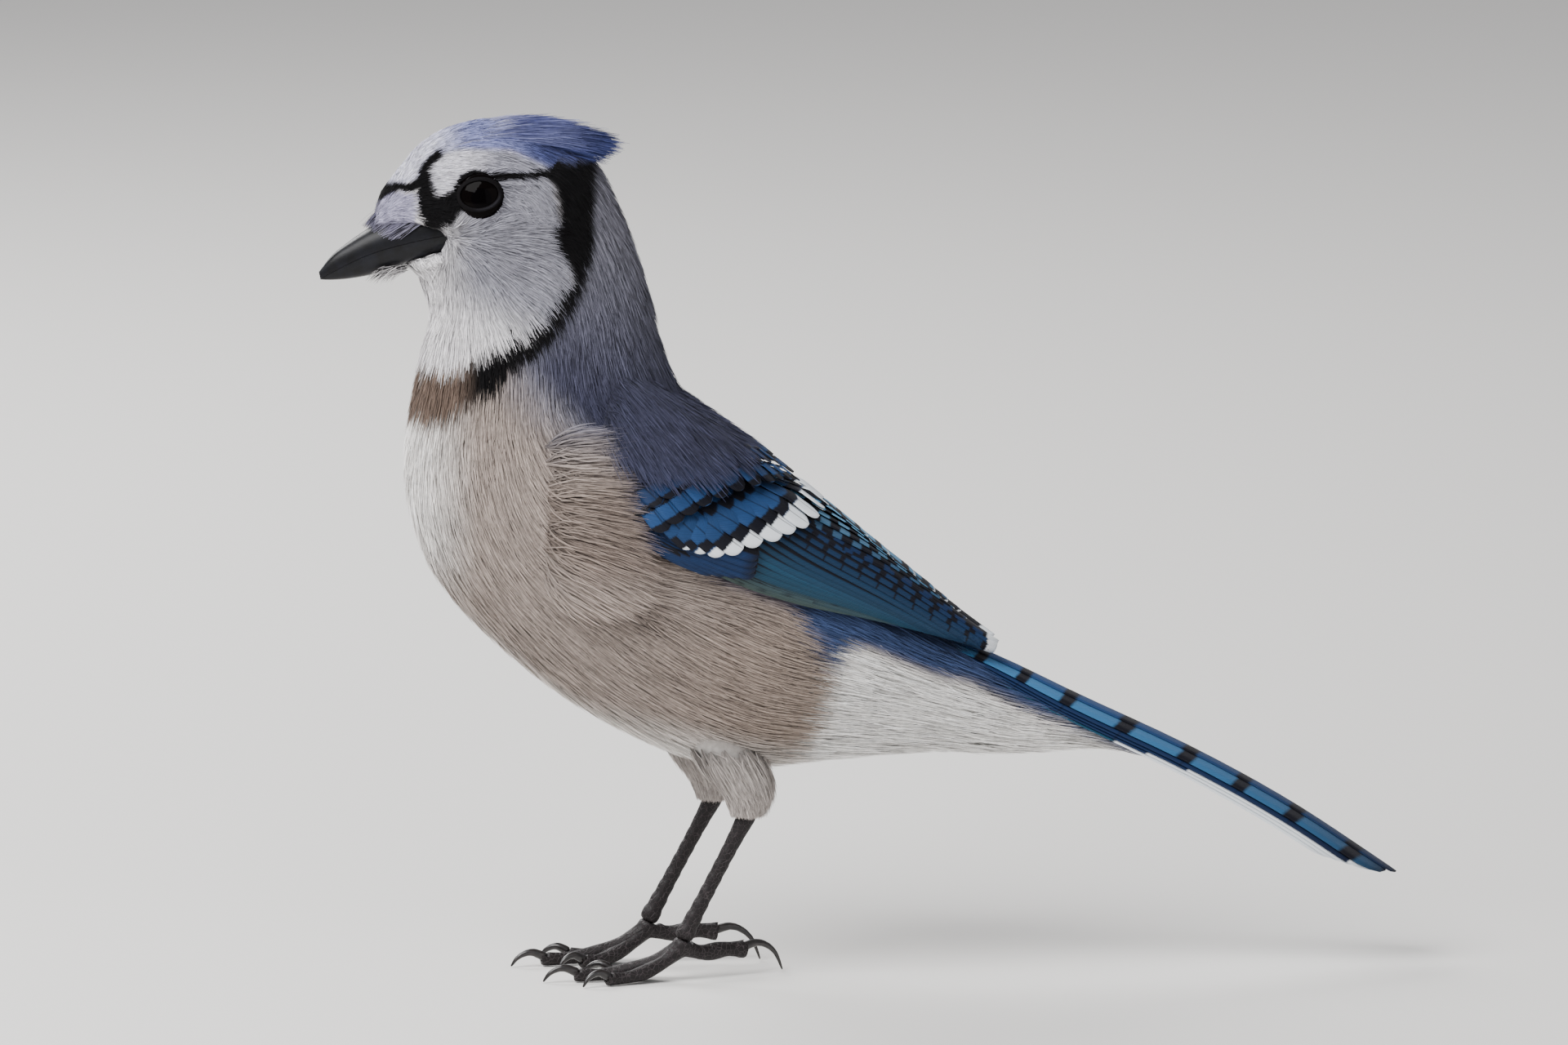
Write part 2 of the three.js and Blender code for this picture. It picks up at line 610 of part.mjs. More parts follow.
function makeFoot(leg) {
  const toes = toesOf(leg).map((toe) => {
    const radii = Array.from({ length: 9 }, (_, i) => {
      const pad = 1 + 0.13 * Math.cos((i / 8) * Math.PI * 4);
      return lerp(toe.root, toe.tip, i / 8) * pad;
    });
    return tube(toePath(leg, toe), radii, TOE.sides, 0);
  });
  const knuckle = new THREE.SphereGeometry(2.5, 8, 6);
  knuckle.translate(leg.heel[0], leg.y, leg.heel[1] - 1.4);
  return fuse([knuckle, ...toes]);
}

function clawTube(leg, toe, grow = 0) {
  const turn = radians(toe.angle);
  const spot = (reach, height) => footSpot(leg, reach * Math.cos(turn), reach * Math.sin(turn), height);
  const start = toe.length - 1.0;
  const path = [
    spot(start, toe.tip + 0.5 + toe.rise),
    spot(start + toe.claw * 0.42, toe.tip + 1.8 + toe.rise * 0.92),
    spot(start + toe.claw * 0.8, toe.tip + 0.7 + toe.rise * 0.6),
    spot(start + toe.claw, 0.28),
  ];
  const taper = (i) => lerp(CLAW.radius, CLAW.tip, (i / CLAW.steps) ** 1.15) + grow;
  const radii = Array.from({ length: CLAW.steps + 1 }, (_, i) => taper(i));
  return tube(path, radii, CLAW.sides, grow > 0 ? null : 0);
}

function makeThigh(leg) {
  const [hx, hz] = leg.hip;
  const [ax, az] = leg.ankle;
  const out = Math.sign(leg.y);
  const path = [
    vec(hx - 7, leg.y - out * 4.5, hz + 4),
    vec(lerp(hx, ax, 0.4) - 2, leg.y - out * 1.6, lerp(hz, az, 0.42)),
    vec(ax - 0.6, leg.y, az + 5.4),
    vec(ax - 0.4, leg.y, az + 0.6),
  ];
  const radii = [8.0, 9.0, 8.8, 7.8, 6.5, 5.3, 4.4, 3.4];
  return tube(path, radii, 12);
}

// Assembly
const bird = new THREE.Group();
bird.name = "blue_jay";

const FINISHES = {
  blue: { color: 0x4a68a8, roughness: 0.7, metalness: 0 },
  grey: { color: 0xb9b4b6, roughness: 0.9, metalness: 0 },
  white: { color: 0xe6e2dc, roughness: 0.9, metalness: 0 },
  wing: { color: 0x2f5f9e, roughness: 0.55, metalness: 0 },
  horn: { color: 0x2a2828, roughness: 0.45, metalness: 0 },
  leg: { color: 0x302d2c, roughness: 0.6, metalness: 0 },
  eye: { color: 0x0c0908, roughness: 0.08, metalness: 0 },
};

function addNode(name, geometry, finish) {
  const mesh = new THREE.Mesh(geometry, new THREE.MeshStandardMaterial(FINISHES[finish]));
  mesh.name = name;
  bird.add(mesh);
  return mesh;
}

const tailFeathers = makeTail();
const tailBase = largest(tailStub.subtract(makeTail(GAP)));
const wings = { left: makeWing(-1), right: makeWing(1) };
const head = makeHead();

addNode("head", geometryOf(head), "grey");
addNode("crest", geometryOf(makeCrest()), "blue");
addNode("neck", geometryOf(neckPiece), "grey");
addNode("torso", geometryOf(torsoPiece), "grey");
addNode("tail_base", geometryOf(tailBase), "white");
addNode("tail", geometryOf(tailFeathers), "wing");
addNode("bill_upper", billUpper, "horn");
addNode("bill_lower", billLower, "horn");
for (const [side, sign] of [["left", -1], ["right", 1]]) {
  addNode(`eye_${side}`, eyeBall(sign), "eye");
  addNode(`wing_${side}`, geometryOf(wings[side]), "wing");
}
for (const leg of LEGS) {
  const thigh = largest(solid(makeThigh(leg)).subtract(trunkGrown));
  const ankle = vec(leg.ankle[0] - 0.4, leg.y, leg.ankle[1]);
  const sleeve = [ankle.clone().add(vec(0, 0, 9)), ankle.clone().add(vec(0, 0, 0.6 - GAP))];
  const grownThigh = solid(tube(sleeve, [3.6, 3.6], 14));
  const foot = makeFoot(leg);
  const tarsus = largest(solid(makeTarsus(leg)).subtract(grownThigh));
  const claws = toesOf(leg).map((toe) => {
    const [made, grown] = [0, GAP].map((grow) => solid(clawTube(leg, toe, grow)));
    return { toe, made, grown };
  });
  const bareFoot = largest(claws.reduce((made, claw) => made.subtract(claw.grown), foot));
  const tarsusGrown = solid(tube(
    [vec(leg.ankle[0], leg.y, leg.ankle[1]), vec(leg.heel[0], leg.y, leg.heel[1])],
    [TARSUS.radius * 1.35 + TARSUS.scuteLip + GAP, TARSUS.radius * 1.35 + TARSUS.scuteLip + GAP],
    TARSUS.sides,
  ));
  addNode(`thigh_${leg.side}`, geometryOf(thigh), "white");
  addNode(`tarsus_${leg.side}`, geometryOf(tarsus), "leg");
  addNode(`foot_${leg.side}`, geometryOf(largest(bareFoot.subtract(tarsusGrown))), "leg");
  for (const { toe, made } of claws) addNode(`claw_${leg.side}_${toe.name}`, geometryOf(made), "horn");
}

// The origin is on the floor under the middle of the bird's box.
const whole = new THREE.Box3().setFromObject(bird);
const middle = whole.getCenter(vec(0, 0, 0));
for (const mesh of bird.children) mesh.geometry.translate(-middle.x, -middle.y, -whole.min.z);

export default bird;
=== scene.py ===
import math

import bmesh
import bpy
import numpy as np
from mathutils import Matrix, Vector


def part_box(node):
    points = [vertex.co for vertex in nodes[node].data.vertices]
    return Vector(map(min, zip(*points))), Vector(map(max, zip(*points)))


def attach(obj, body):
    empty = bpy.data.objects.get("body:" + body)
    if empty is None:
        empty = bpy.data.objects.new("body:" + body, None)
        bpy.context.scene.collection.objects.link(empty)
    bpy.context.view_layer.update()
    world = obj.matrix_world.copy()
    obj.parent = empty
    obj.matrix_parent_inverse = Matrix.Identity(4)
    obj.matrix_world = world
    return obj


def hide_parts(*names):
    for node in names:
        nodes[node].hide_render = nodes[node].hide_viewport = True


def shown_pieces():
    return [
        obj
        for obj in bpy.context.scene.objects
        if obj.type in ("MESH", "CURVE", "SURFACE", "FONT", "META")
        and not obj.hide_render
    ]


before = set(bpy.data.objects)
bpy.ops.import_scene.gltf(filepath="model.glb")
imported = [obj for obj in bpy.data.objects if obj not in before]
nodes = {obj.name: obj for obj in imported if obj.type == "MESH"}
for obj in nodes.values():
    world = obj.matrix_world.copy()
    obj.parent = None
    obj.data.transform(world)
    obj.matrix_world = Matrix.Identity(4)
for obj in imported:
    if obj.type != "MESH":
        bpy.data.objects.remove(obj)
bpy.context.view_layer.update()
mm = 0.001
rng = np.random.default_rng(41)

# The tables start at the middle of the wings; the model's own origin is under the middle of its box
billTipX = -118.9
shift = np.array([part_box("bill_upper")[0].x / mm - billTipX, 0.0, 0.0])
print("shift from the tables to the model, mm:", shift.round(2))


def linear(hexCode):
    channels = [int(hexCode[i:i + 2], 16) / 255 for i in (1, 3, 5)]
    return tuple(c / 12.92 if c <= 0.04045 else ((c + 0.055) / 1.055) ** 2.4 for c in channels)


def unit(v):
    return v / np.maximum(np.linalg.norm(v, axis=-1, keepdims=True), 1e-9)


def smooth(low, high, x):
    t = np.clip((x - low) / (high - low), 0, 1)
    return t * t * (3 - 2 * t)


# Points on a smooth curve through a few points, the same curve as in the solids
def curveAt(points, t):
    p = np.asarray(points, float)
    p = np.vstack([2 * p[0] - p[1], p, 2 * p[-1] - p[-2]])
    last = len(points) - 1
    s = np.clip(np.asarray(t, float), 0, 1) * last
    i = np.minimum(s.astype(int), last - 1)
    w = (s - i)[..., None]
    a, b, c, d = p[i], p[i + 1], p[i + 2], p[i + 3]
    d0, d1, d2 = (np.maximum(np.linalg.norm(q, axis=-1, keepdims=True), 1e-8) ** 0.5 for q in (b - a, c - b, d - c))
    m1 = ((b - a) / d0 - (c - a) / (d0 + d1) + (c - b) / d1) * d1
    m2 = ((c - b) / d1 - (d - b) / (d1 + d2) + (d - c) / d2) * d1
    return b + m1 * w + (3 * (c - b) - 2 * m1 - m2) * w**2 + (2 * (b - c) + m1 + m2) * w**3


# How deep a point lies inside an outline, negative outside
def depthIn(x, z, outline):
    pts = np.array(outline, float)
    far = np.full(x.shape, 1e9)
    inside = np.zeros(x.shape, bool)
    for (ax, az), (bx, bz) in zip(pts, np.roll(pts, -1, axis=0)):
        t = np.clip(((x - ax) * (bx - ax) + (z - az) * (bz - az)) / ((bx - ax) ** 2 + (bz - az) ** 2), 0, 1)
        far = np.minimum(far, np.hypot(x - ax - t * (bx - ax), z - az - t * (bz - az)))
        if az != bz:
            inside ^= ((az > z) != (bz > z)) & (x < (bx - ax) * (z - az) / (bz - az) + ax)
    return np.where(inside, far, -far)


# A surface is a grid of points with normals and slopes. round says that its second direction closes on itself.
def makeSurface(points, round, span=(0.0, 1.0)):
    nu, nv = points.shape[:2]
    pu = np.gradient(points, axis=0) * (nu - 1)
    perV = (nv - 1) / (span[1] - span[0])
    if round:
        wide = np.concatenate([points[:, -3:-1], points, points[:, 1:3]], axis=1)
        pv = np.gradient(wide, axis=1)[:, 2:-2] * perV
    else:
        pv = np.gradient(points, axis=1) * perV
    normal = unit(np.cross(pu, pv))
    return {"data": np.concatenate([points, normal, pu, pv], axis=-1), "round": round, "span": span}


def turnOutwards(surface, inside):
    data = surface["data"]
    if np.mean(np.sum((data[..., :3] - inside) * data[..., 3:6], axis=-1)) < 0:
        data[..., 3:6] *= -1
    return surface


# Point, normal and both slopes at places on a surface
def sample(surface, u, v):
    data = surface["data"]
    nu, nv = data.shape[:2]
    low, high = surface["span"]
    v = v % 1.0 if surface["round"] else (np.clip(v, low, high) - low) / (high - low)
    x = np.clip(u, 0, 1) * (nu - 1)
    y = v * (nv - 1)
    i = np.clip(x.astype(int), 0, nu - 2)
    j = np.clip(y.astype(int), 0, nv - 2)
    a, b = (x - i)[..., None], (y - j)[..., None]
    near = data[i, j] * (1 - a) + data[i + 1, j] * a
    far = data[i, j + 1] * (1 - a) + data[i + 1, j + 1] * a
    out = near * (1 - b) + far * b
    return out[..., :3], unit(out[..., 3:6]), out[..., 6:9], out[..., 9:12]


# How far to move on the surface's two directions for a step in space
def stepOn(pu, pv, step):
    uu, uv, vv = (np.sum(a * b, axis=-1) for a, b in ((pu, pu), (pu, pv), (pv, pv)))
    su, sv = np.sum(step * pu, axis=-1), np.sum(step * pv, axis=-1)
    det = np.maximum(uu * vv - uv * uv, 1e-6)
    return (su * vv - sv * uv) / det, (sv * uu - su * uv) / det


trunk = {
    "back": [(62.0, 50.6), (45.2, 58.9), (27.1, 69.4), (10.9, 81.0), (-1.8, 93.4), (-14.5, 105.6), (-26.2, 115.6),
             (-34.0, 123.9), (-39.3, 131.9), (-43.1, 141.0), (-45.8, 150.7), (-49.2, 161.2), (-53.0, 170.3),
             (-56.7, 178.0), (-61.5, 184.4), (-68.5, 188.6), (-77.0, 190.6), (-86.0, 189.9), (-94.0, 186.6),
             (-100.2, 180.1), (-105.2, 173.8)],
    "belly": [(66.5, 46.5), (56.1, 48.4), (33.5, 46.9), (12.7, 47.4), (-9.0, 46.0), (-32.6, 45.6), (-57.9, 56.2),
              (-79.6, 72.4), (-94.1, 89.0), (-100.1, 108.3), (-98.6, 126.5), (-95.9, 138.4), (-93.9, 146.0),
              (-94.9, 151.2), (-96.9, 154.6), (-99.6, 157.0), (-102.2, 158.8), (-104.2, 160.2), (-105.6, 161.6),
              (-106.8, 163.2), (-107.6, 165.2)],
    "half": [5.0, 9.5, 14.0, 18.5, 22.5, 26.0, 28.0, 28.0, 26.5, 23.0, 18.8, 15.8, 14.6, 14.4, 14.5, 14.0, 12.0,
             9.4, 7.0, 5.0, 3.4],
    "fullness": 0.94,
    # how far the skin lies under the tips of the coat, from the undertail to the face
    "coat": [2.0, 2.4, 2.6, 2.6, 2.6, 2.6, 2.6, 2.6, 2.5, 2.2, 1.9, 1.6, 1.4, 1.4, 1.4, 1.4, 1.3, 1.2, 1.0, 0.8, 0.6],
    "grid": (241, 161),
}


# The bill in the side view: its top, its line of closing and its bottom from the gape to the tip,
# half its width at those places, and the outline of the part that no feathers cover
bill = {
    "top": [(-91.5, 171.8), (-97.7, 171.1), (-103.2, 169.2), (-107.7, 166.6), (-112.2, 163.6), (-115.8, 160.8),
            (-118.9, 157.0)],
    "mouth": [(-91.2, 165.8), (-97.0, 164.6), (-103.3, 162.9), (-107.6, 161.4), (-112.1, 159.3), (-115.8, 157.2),
              (-118.6, 155.5)],
    "bottom": [(-92.0, 161.2), (-97.6, 159.6), (-103.6, 157.4), (-108.2, 156.1), (-112.6, 155.4), (-115.6, 155.2),
               (-117.4, 155.2)],
    "half": [7.8, 6.8, 5.3, 4.0, 2.8, 1.7, 0.5],
    "bare": [(-91.4, 165.6), (-92.6, 167.0), (-97.7, 168.3), (-103.0, 168.0), (-107.4, 166.9), (-112.2, 163.6),
             (-118.6, 157.4), (-118.9, 155.4), (-112.6, 155.6), (-108.2, 156.1), (-103.4, 158.9),
             (-97.9, 160.2), (-92.2, 161.9)],
}


def trunkSurface(depth):
    nu, nv = trunk["grid"]
    u = np.linspace(0, 1, nu)
    half = np.array(trunk["half"])
    line = {k: curveAt([(x, h, z) for (x, z), h in zip(trunk[k], half)], u) for k in ("back", "belly")}
    top, low = line["back"].copy(), line["belly"].copy()
    wide = top[:, 1].copy()
    top[:, 1] = low[:, 1] = 0
    middle, up = (top + low) / 2, (top - low) / 2
    coat = np.interp(u, np.linspace(0, 1, len(half)), trunk["coat"]) * depth
    up = up * (1 - coat / np.maximum(np.linalg.norm(up, axis=1), 1))[:, None]
    wide = np.maximum(wide - coat, 0.5)
    turn = np.linspace(0, 2 * math.pi, nv)
    rise, out = (np.sign(w) * np.abs(w) ** trunk["fullness"] for w in (np.cos(turn), np.sin(turn)))
    points = middle[:, None] + up[:, None] * rise[None, :, None]
    points[..., 1] += wide[:, None] * out[None, :]
    # the face stands back on both sides of the bill
    beside = smooth(-1.3, 0.3, depthIn(points[..., 0], points[..., 2], bill["bare"]))
    room = np.interp(-points[..., 0], [-x for x, z in bill["mouth"]], bill["half"]) * 0.45
    side = np.abs(points[..., 1])
    points[..., 1] *= 1 - beside * np.clip(1 - room / np.maximum(side, 0.1), 0, 1)
    return turnOutwards(makeSurface(points, True), middle[:, None])


skinSurface = trunkSurface(1.0)

wingShape = {
    "top": [(-52, 3.0, 138.0), (-34.5, 4.0, 125.4), (-13.0, 3.2, 109.4), (7.0, 2.4, 92.2), (31.4, 1.2, 71.4)],
    "low": [(-62, 27.5, 115.0), (-46.0, 29.5, 101.0), (-25.0, 26.5, 92.0), (3.0, 18.2, 82.6), (30.6, 5.4, 71.6)],
    "dive": 6.0,
    "diveUntil": 0.24,
    "ridgeUntil": 0.42,
    "grid": (161, 81),
    "span": (-0.14, 1.14),
}


# The folded wing's quarter shell, for the side of +Y (side 1) or of -Y (side -1).
# It lies deeper by dive at the shoulder and by ridge along the middle of the back.
def wingSurface(side, dive, ridge):
    nu, nv = wingShape["grid"]
    u, v = np.linspace(0, 1, nu)[:, None], np.linspace(*wingShape["span"], nv)[None, :]
    a, b = (curveAt([(x, y * side, z) for x, y, z in wingShape[k]], u[:, 0])[:, None] for k in ("top", "low"))
    turn = v * math.pi / 2
    points = np.stack([a[..., 0] + (b - a)[..., 0] * v, a[..., 1] + (b - a)[..., 1] * np.sin(turn),
                       a[..., 2] + (b - a)[..., 2] * (1 - np.cos(turn))], axis=-1)
    surface = turnOutwards(makeSurface(points, False, wingShape["span"]), np.array([-20, 0, 60.0]))
    depth = dive * (1 - smooth(0, wingShape["diveUntil"], u)) + ridge * smooth(wingShape["ridgeUntil"], -0.05, v)
    surface["data"][..., :3] -= surface["data"][..., 3:6] * depth[..., None]
    return surface


tailShape = {
    "line": [(14, 76.2), (30.8, 69.2), (48.9, 60.2), (74.2, 47.9), (95.9, 35.6), (119.5, 19.6)],
    "arch": 0.02,
    "reach": 22.0,
    "grid": (121, 61),
}


def tailSurface():
    nu, nv = tailShape["grid"]
    line = curveAt([(x, 0, z) for x, z in tailShape["line"]], np.linspace(0, 1, nu))
    flow = unit(np.gradient(line, axis=0))
    up = np.cross(flow, [0, 1, 0])
    up *= np.sign(up[:, 2:])
    y = np.linspace(-tailShape["reach"], tailShape["reach"], nv)
    points = line[:, None] - up[:, None] * (tailShape["arch"] * y**2)[None, :, None]
    points[..., 1] += y
    return turnOutwards(makeSurface(points, False), np.array([60, 0, -50.0]))


# Colours of the plumage, one for each kind of feather. front also holds painted light, cheek painted shade, and brown
# serves too as a painted shadow beside the wing's front
inks = {name: np.array(linear(code)) for name, code in {
    "breast": "#a0938b", "front": "#f1eeeb", "flank": "#97877b", "belly": "#ebe6e1", "throat": "#e0dddf",
    "cheek": "#80808c", "mantle": "#3d3e52", "nape": "#75747f", "collar": "#060507", "brown": "#6a5a50",
    "crown": "#7f84b2", "crownPale": "#dcdbe8", "crownDark": "#2d3562", "brow": "#cfcdd6", "lore": "#040305",
    "bristle": "#a19eb6", "rump": "#3f4f75", "vent": "#f2f0ed", "thigh": "#aca49f", "back": "#343f65"}.items()}

# Outlines of the markings in the side view, as (x, z)
marks = {
    "crown": [(-107.5, 173.4), (-101.6, 176.0), (-98.0, 178.0), (-95.6, 181.6), (-93.5, 183.0), (-91.1, 183.8),
              (-87.6, 184.6), (-83.4, 184.5), (-78.1, 184.4), (-73.9, 182.7), (-69.6, 180.7), (-66.3, 180.3),
              (-58.0, 181.0), (-50.0, 184), (-50, 200), (-115, 200)],
    "frontlet": [(-106.6, 172.4), (-104.1, 174.4), (-102.1, 175.5), (-99.5, 175.7), (-97.7, 177.3), (-96.7, 179.7),
                 (-95.3, 181.5), (-93.4, 183.1)],
    "lore": [(-96.0, 180.2), (-97.8, 177.5), (-98.1, 174.4), (-97.9, 171.5), (-96.1, 168.5), (-92.9, 168.0),
             (-91.4, 169.1), (-89.3, 171.4), (-86.6, 173.0), (-86.8, 176.6), (-88.9, 177.2), (-91.9, 174.9),
             (-94.0, 174.0), (-95.0, 175.3), (-95.4, 177.9)],
    "brow": [(-95.0, 181.4), (-91.6, 183.2), (-88.5, 184.4), (-83.3, 184.5), (-78.1, 184.2), (-73.8, 182.7),
             (-70.2, 180.7), (-70.7, 179.5), (-75.0, 179.2), (-79.3, 179.4), (-83.6, 179.9), (-86.7, 179.9),
             (-88.9, 177.9), (-91.0, 175.5), (-94.1, 174.3), (-95.3, 176.1), (-95.6, 179.2)],
    "eyeline": [(-89.4, 176.8), (-88.2, 178.6), (-85.7, 179.7), (-82.0, 179.4), (-79.3, 179.0), (-75.6, 179.2),
                (-72.4, 179.1), (-69.4, 179.7)],
    "collar": [(-69.5, 180.9), (-70.9, 179.4), (-68.9, 176.7), (-68.2, 174.0), (-68.0, 170.9), (-69.1, 166.7),
               (-68.6, 164.0), (-66.3, 160.8), (-65.1, 158.1), (-64.4, 156.0), (-65.2, 153.9), (-67.4, 149.6),
               (-70.0, 146.5), (-73.7, 143.0), (-76.3, 142.0), (-79.5, 140.1), (-82.6, 138.7), (-86.8, 136.2),
               (-89.2, 134.7), (-93.8, 133.7), (-101.0, 133.7), (-101.5, 126.0), (-98.1, 125.8), (-95.1, 125.5),
               (-92.1, 126.5), (-89.5, 128.4), (-87.0, 130.6), (-83.8, 132.2), (-80.6, 134.3), (-78.5, 137.0),
               (-75.9, 139.6), (-73.2, 141.2), (-70.0, 144.3), (-67.3, 148.0), (-64.6, 152.2), (-62.5, 156.3),
               (-60.8, 160.0), (-59.9, 164.2), (-60.2, 168.4), (-59.8, 172.6), (-59.6, 181.5)],
    "throat": [(-69.5, 181.5), (-68.2, 174.0), (-67.5, 169.7), (-65.0, 160.0), (-64.6, 154.0), (-73.7, 142.5),
               (-81.0, 138.4), (-89.0, 133.6), (-104.0, 132.6), (-112.0, 160.0), (-100.0, 180.0), (-90.0, 186.0)],
    "mantle": [(-61.0, 184.0), (-60.0, 170.0), (-62.4, 156.0), (-70.6, 143.0), (-74.0, 138.6), (-67.3, 131.0),
               (-60.9, 123.0), (-56.4, 113.0), (-50.0, 100.0), (-30.0, 90.0), (10.0, 74.0), (70.0, 44.0),
               (70.0, 80.0), (-20.0, 150.0), (-40.0, 190.0)],
    "rump": [(-26.0, 94.0), (-17.0, 84.5), (-12.5, 76.5), (-9.5, 70.0), (-6.0, 74.2), (-2.9, 75.6), (7.8, 70.4),
             (14.9, 67.0), (22.2, 65.2), (31.4, 60.0), (37.0, 57.6), (56.3, 50.6), (72.0, 46.0), (72.0, 80.0),
             (0.0, 100.0)],
    "vent": [(-15.0, 52.0), (-10.0, 58.0), (-9.6, 66.0), (-6.0, 73.6), (-2.9, 75.0), (7.8, 69.8), (14.9, 66.5),
             (22.2, 64.6), (31.4, 59.4), (37.0, 57.0), (56.3, 50.0), (80.0, 40.0), (0.0, 30.0)],
}


def nearLine(x, z, line):
    far = np.full(x.shape, 1e9)
    for (ax, az), (bx, bz) in zip(line[:-1], line[1:]):
        t = np.clip(((x - ax) * (bx - ax) + (z - az) * (bz - az)) / ((bx - ax) ** 2 + (bz - az) ** 2), 0, 1)
        far = np.minimum(far, np.hypot(x - ax - t * (bx - ax), z - az - t * (bz - az)))
    return far


def blend(base, ink, amount):
    return base + (inks[ink] - base) * amount[..., None]


# The colour of the plumage at a point of the tables' frame, with painted light on the breast's front and painted
# shade on the cheek and beside the wing's front
def plumageColour(p):
    x, y, z = p[..., 0], np.abs(p[..., 1]), p[..., 2]
    inMantle, inCrown, inThroat, inCollar = (depthIn(x, z, marks[k]) for k in ("mantle", "crown", "throat", "collar"))
    inCollar = inCollar + 1.4 * smooth(160, 150, z)
    c = np.broadcast_to(inks["breast"], p.shape).copy()
    # the breast's front turns near white: partly its own pale front, partly painted light where the key light falls
    # on it
    c = blend(c, "front", smooth(-84, -99, x) * smooth(80, 100, z))
    c = blend(c, "flank", smooth(-60, -20, x) * smooth(95, 75, z) * 0.7)
    c = blend(c, "belly", smooth(62, 50, z + 0.25 * (x + 40)) * smooth(-75, -45, x))
    c = blend(c, "belly", smooth(12, 3, y) * smooth(95, 60, z) * 0.7)
    # a brown darkening beside the wing's front, below its bend: painted shadow of the wing on the breast's side
    c = blend(c, "brown", smooth(-73, -64, x) * smooth(90, 98, z) * smooth(118, 108, z) * smooth(-40, -50, x) * 0.5)
    c = blend(c, "nape", smooth(-14, 1, inMantle) * smooth(112, 128, z))
    c = blend(c, "mantle", smooth(-3.5, 3.5, inMantle) * smooth(172, 126, z + 0.2 * (x + 60)))
    c = blend(c, "back", smooth(-2.5, 2.5, inMantle) * smooth(120, 95, z))
    c = blend(c, "rump", smooth(-2.0, 2.0, depthIn(x, z, marks["rump"])))
    c = blend(c, "vent", smooth(-1.6, 1.6, depthIn(x, z, marks["vent"])))
    c = blend(c, "throat", smooth(-1.2, 1.2, inThroat))
    # the cheek's grey is partly its own colour, partly painted shade that darkens it below the face's own light grey
    cheekHeight = smooth(140, 156, z + 0.5 * (x + 80))
    c = blend(c, "cheek", smooth(-1.2, 1.2, inThroat) * smooth(-96, -84, x) * cheekHeight * 0.9)
    inBrow = depthIn(x, z, marks["brow"])
    c = blend(c, "brow", smooth(-0.7, 0.7, inBrow))
    c = blend(c, "cheek", smooth(-0.7, 0.7, inBrow) * smooth(-88, -80, x) * 0.85)
    c = blend(c, "crown", smooth(-0.8, 0.8, inCrown))
    c = blend(c, "crownPale", smooth(-0.8, 0.8, inCrown) * smooth(-86, -97, x) * 0.9)
    c = blend(c, "crownDark", smooth(-0.5, 1.5, inCrown) * smooth(-82, -70, x) * 0.85)
    c = blend(c, "bristle", smooth(-97.8, -99.4, x) * smooth(175.2, 174.0, z) * smooth(160.5, 166.5, z))
    c = blend(c, "collar", smooth(-0.9, 0.9, inCollar))
    c = blend(c, "brown", smooth(-0.9, 0.9, inCollar) * smooth(-84, -90, x))
    c = blend(c, "lore", smooth(-0.9, 0.1, depthIn(x, z, marks["lore"])))
    c = blend(c, "lore", smooth(1.15, 0.5, nearLine(x, z, marks["frontlet"])))
    c = blend(c, "lore", smooth(1.1, 0.5, nearLine(x, z, marks["eyeline"])))
    return c


# Adds one node with its settings and links
def node(tree, kind, at, inputs=None, **props):
    made = tree.nodes.new(kind)
    made.location = at
    for key, value in props.items():
        setattr(made, key, value)
    for key, value in (inputs or {}).items():
        if isinstance(value, bpy.types.NodeSocket):
            tree.links.new(value, made.inputs[key])
        else:
            made.inputs[key].default_value = value
    return made


def material(name, roughness, metallic=0.0, **shader):
    made = bpy.data.materials.new(name)
    made.use_nodes = True
    bsdf = made.node_tree.nodes["Principled BSDF"]
    bsdf.inputs["Roughness"].default_value = roughness
    bsdf.inputs["Metallic"].default_value = metallic
    for key, value in shader.items():
        bsdf.inputs[key].default_value = value
    return made, made.node_tree, bsdf


# Short feathers and the skin under them take their colour from the attribute Plumage
def plumageMaterial(name, roughness, sheen):
    made, tree, bsdf = material(name, roughness)
    bsdf.inputs["Sheen Weight"].default_value = sheen
    bsdf.inputs["Specular IOR Level"].default_value = 0.12
    colour = node(tree, "ShaderNodeVertexColor", (-700, 200), layer_name="Plumage")
    place = node(tree, "ShaderNodeTexCoord", (-1100, -100))
    # streaks about 1.1 mm across
    streaks = node(tree, "ShaderNodeTexNoise", (-900, -100), {"Vector": place.outputs["Object"], "Scale": 900.0,
                                                              "Detail": 3.0})
    tone = node(tree, "ShaderNodeMapRange", (-700, -100), {"Value": streaks.outputs["Fac"], "From Min": 0.3,
                                                           "From Max": 0.7, "To Min": 0.86, "To Max": 1.12})
    mixed = node(tree, "ShaderNodeVectorMath", (-400, 150), {0: colour.outputs["Color"]}, operation="SCALE")
    tree.links.new(tone.outputs["Result"], mixed.inputs["Scale"])
    tree.links.new(mixed.outputs["Vector"], bsdf.inputs["Base Color"])
    return made


coatMaterial = plumageMaterial("Feather down", 0.82, 0.05)
skinMaterial = plumageMaterial("Feathered skin", 0.95, 0.0)


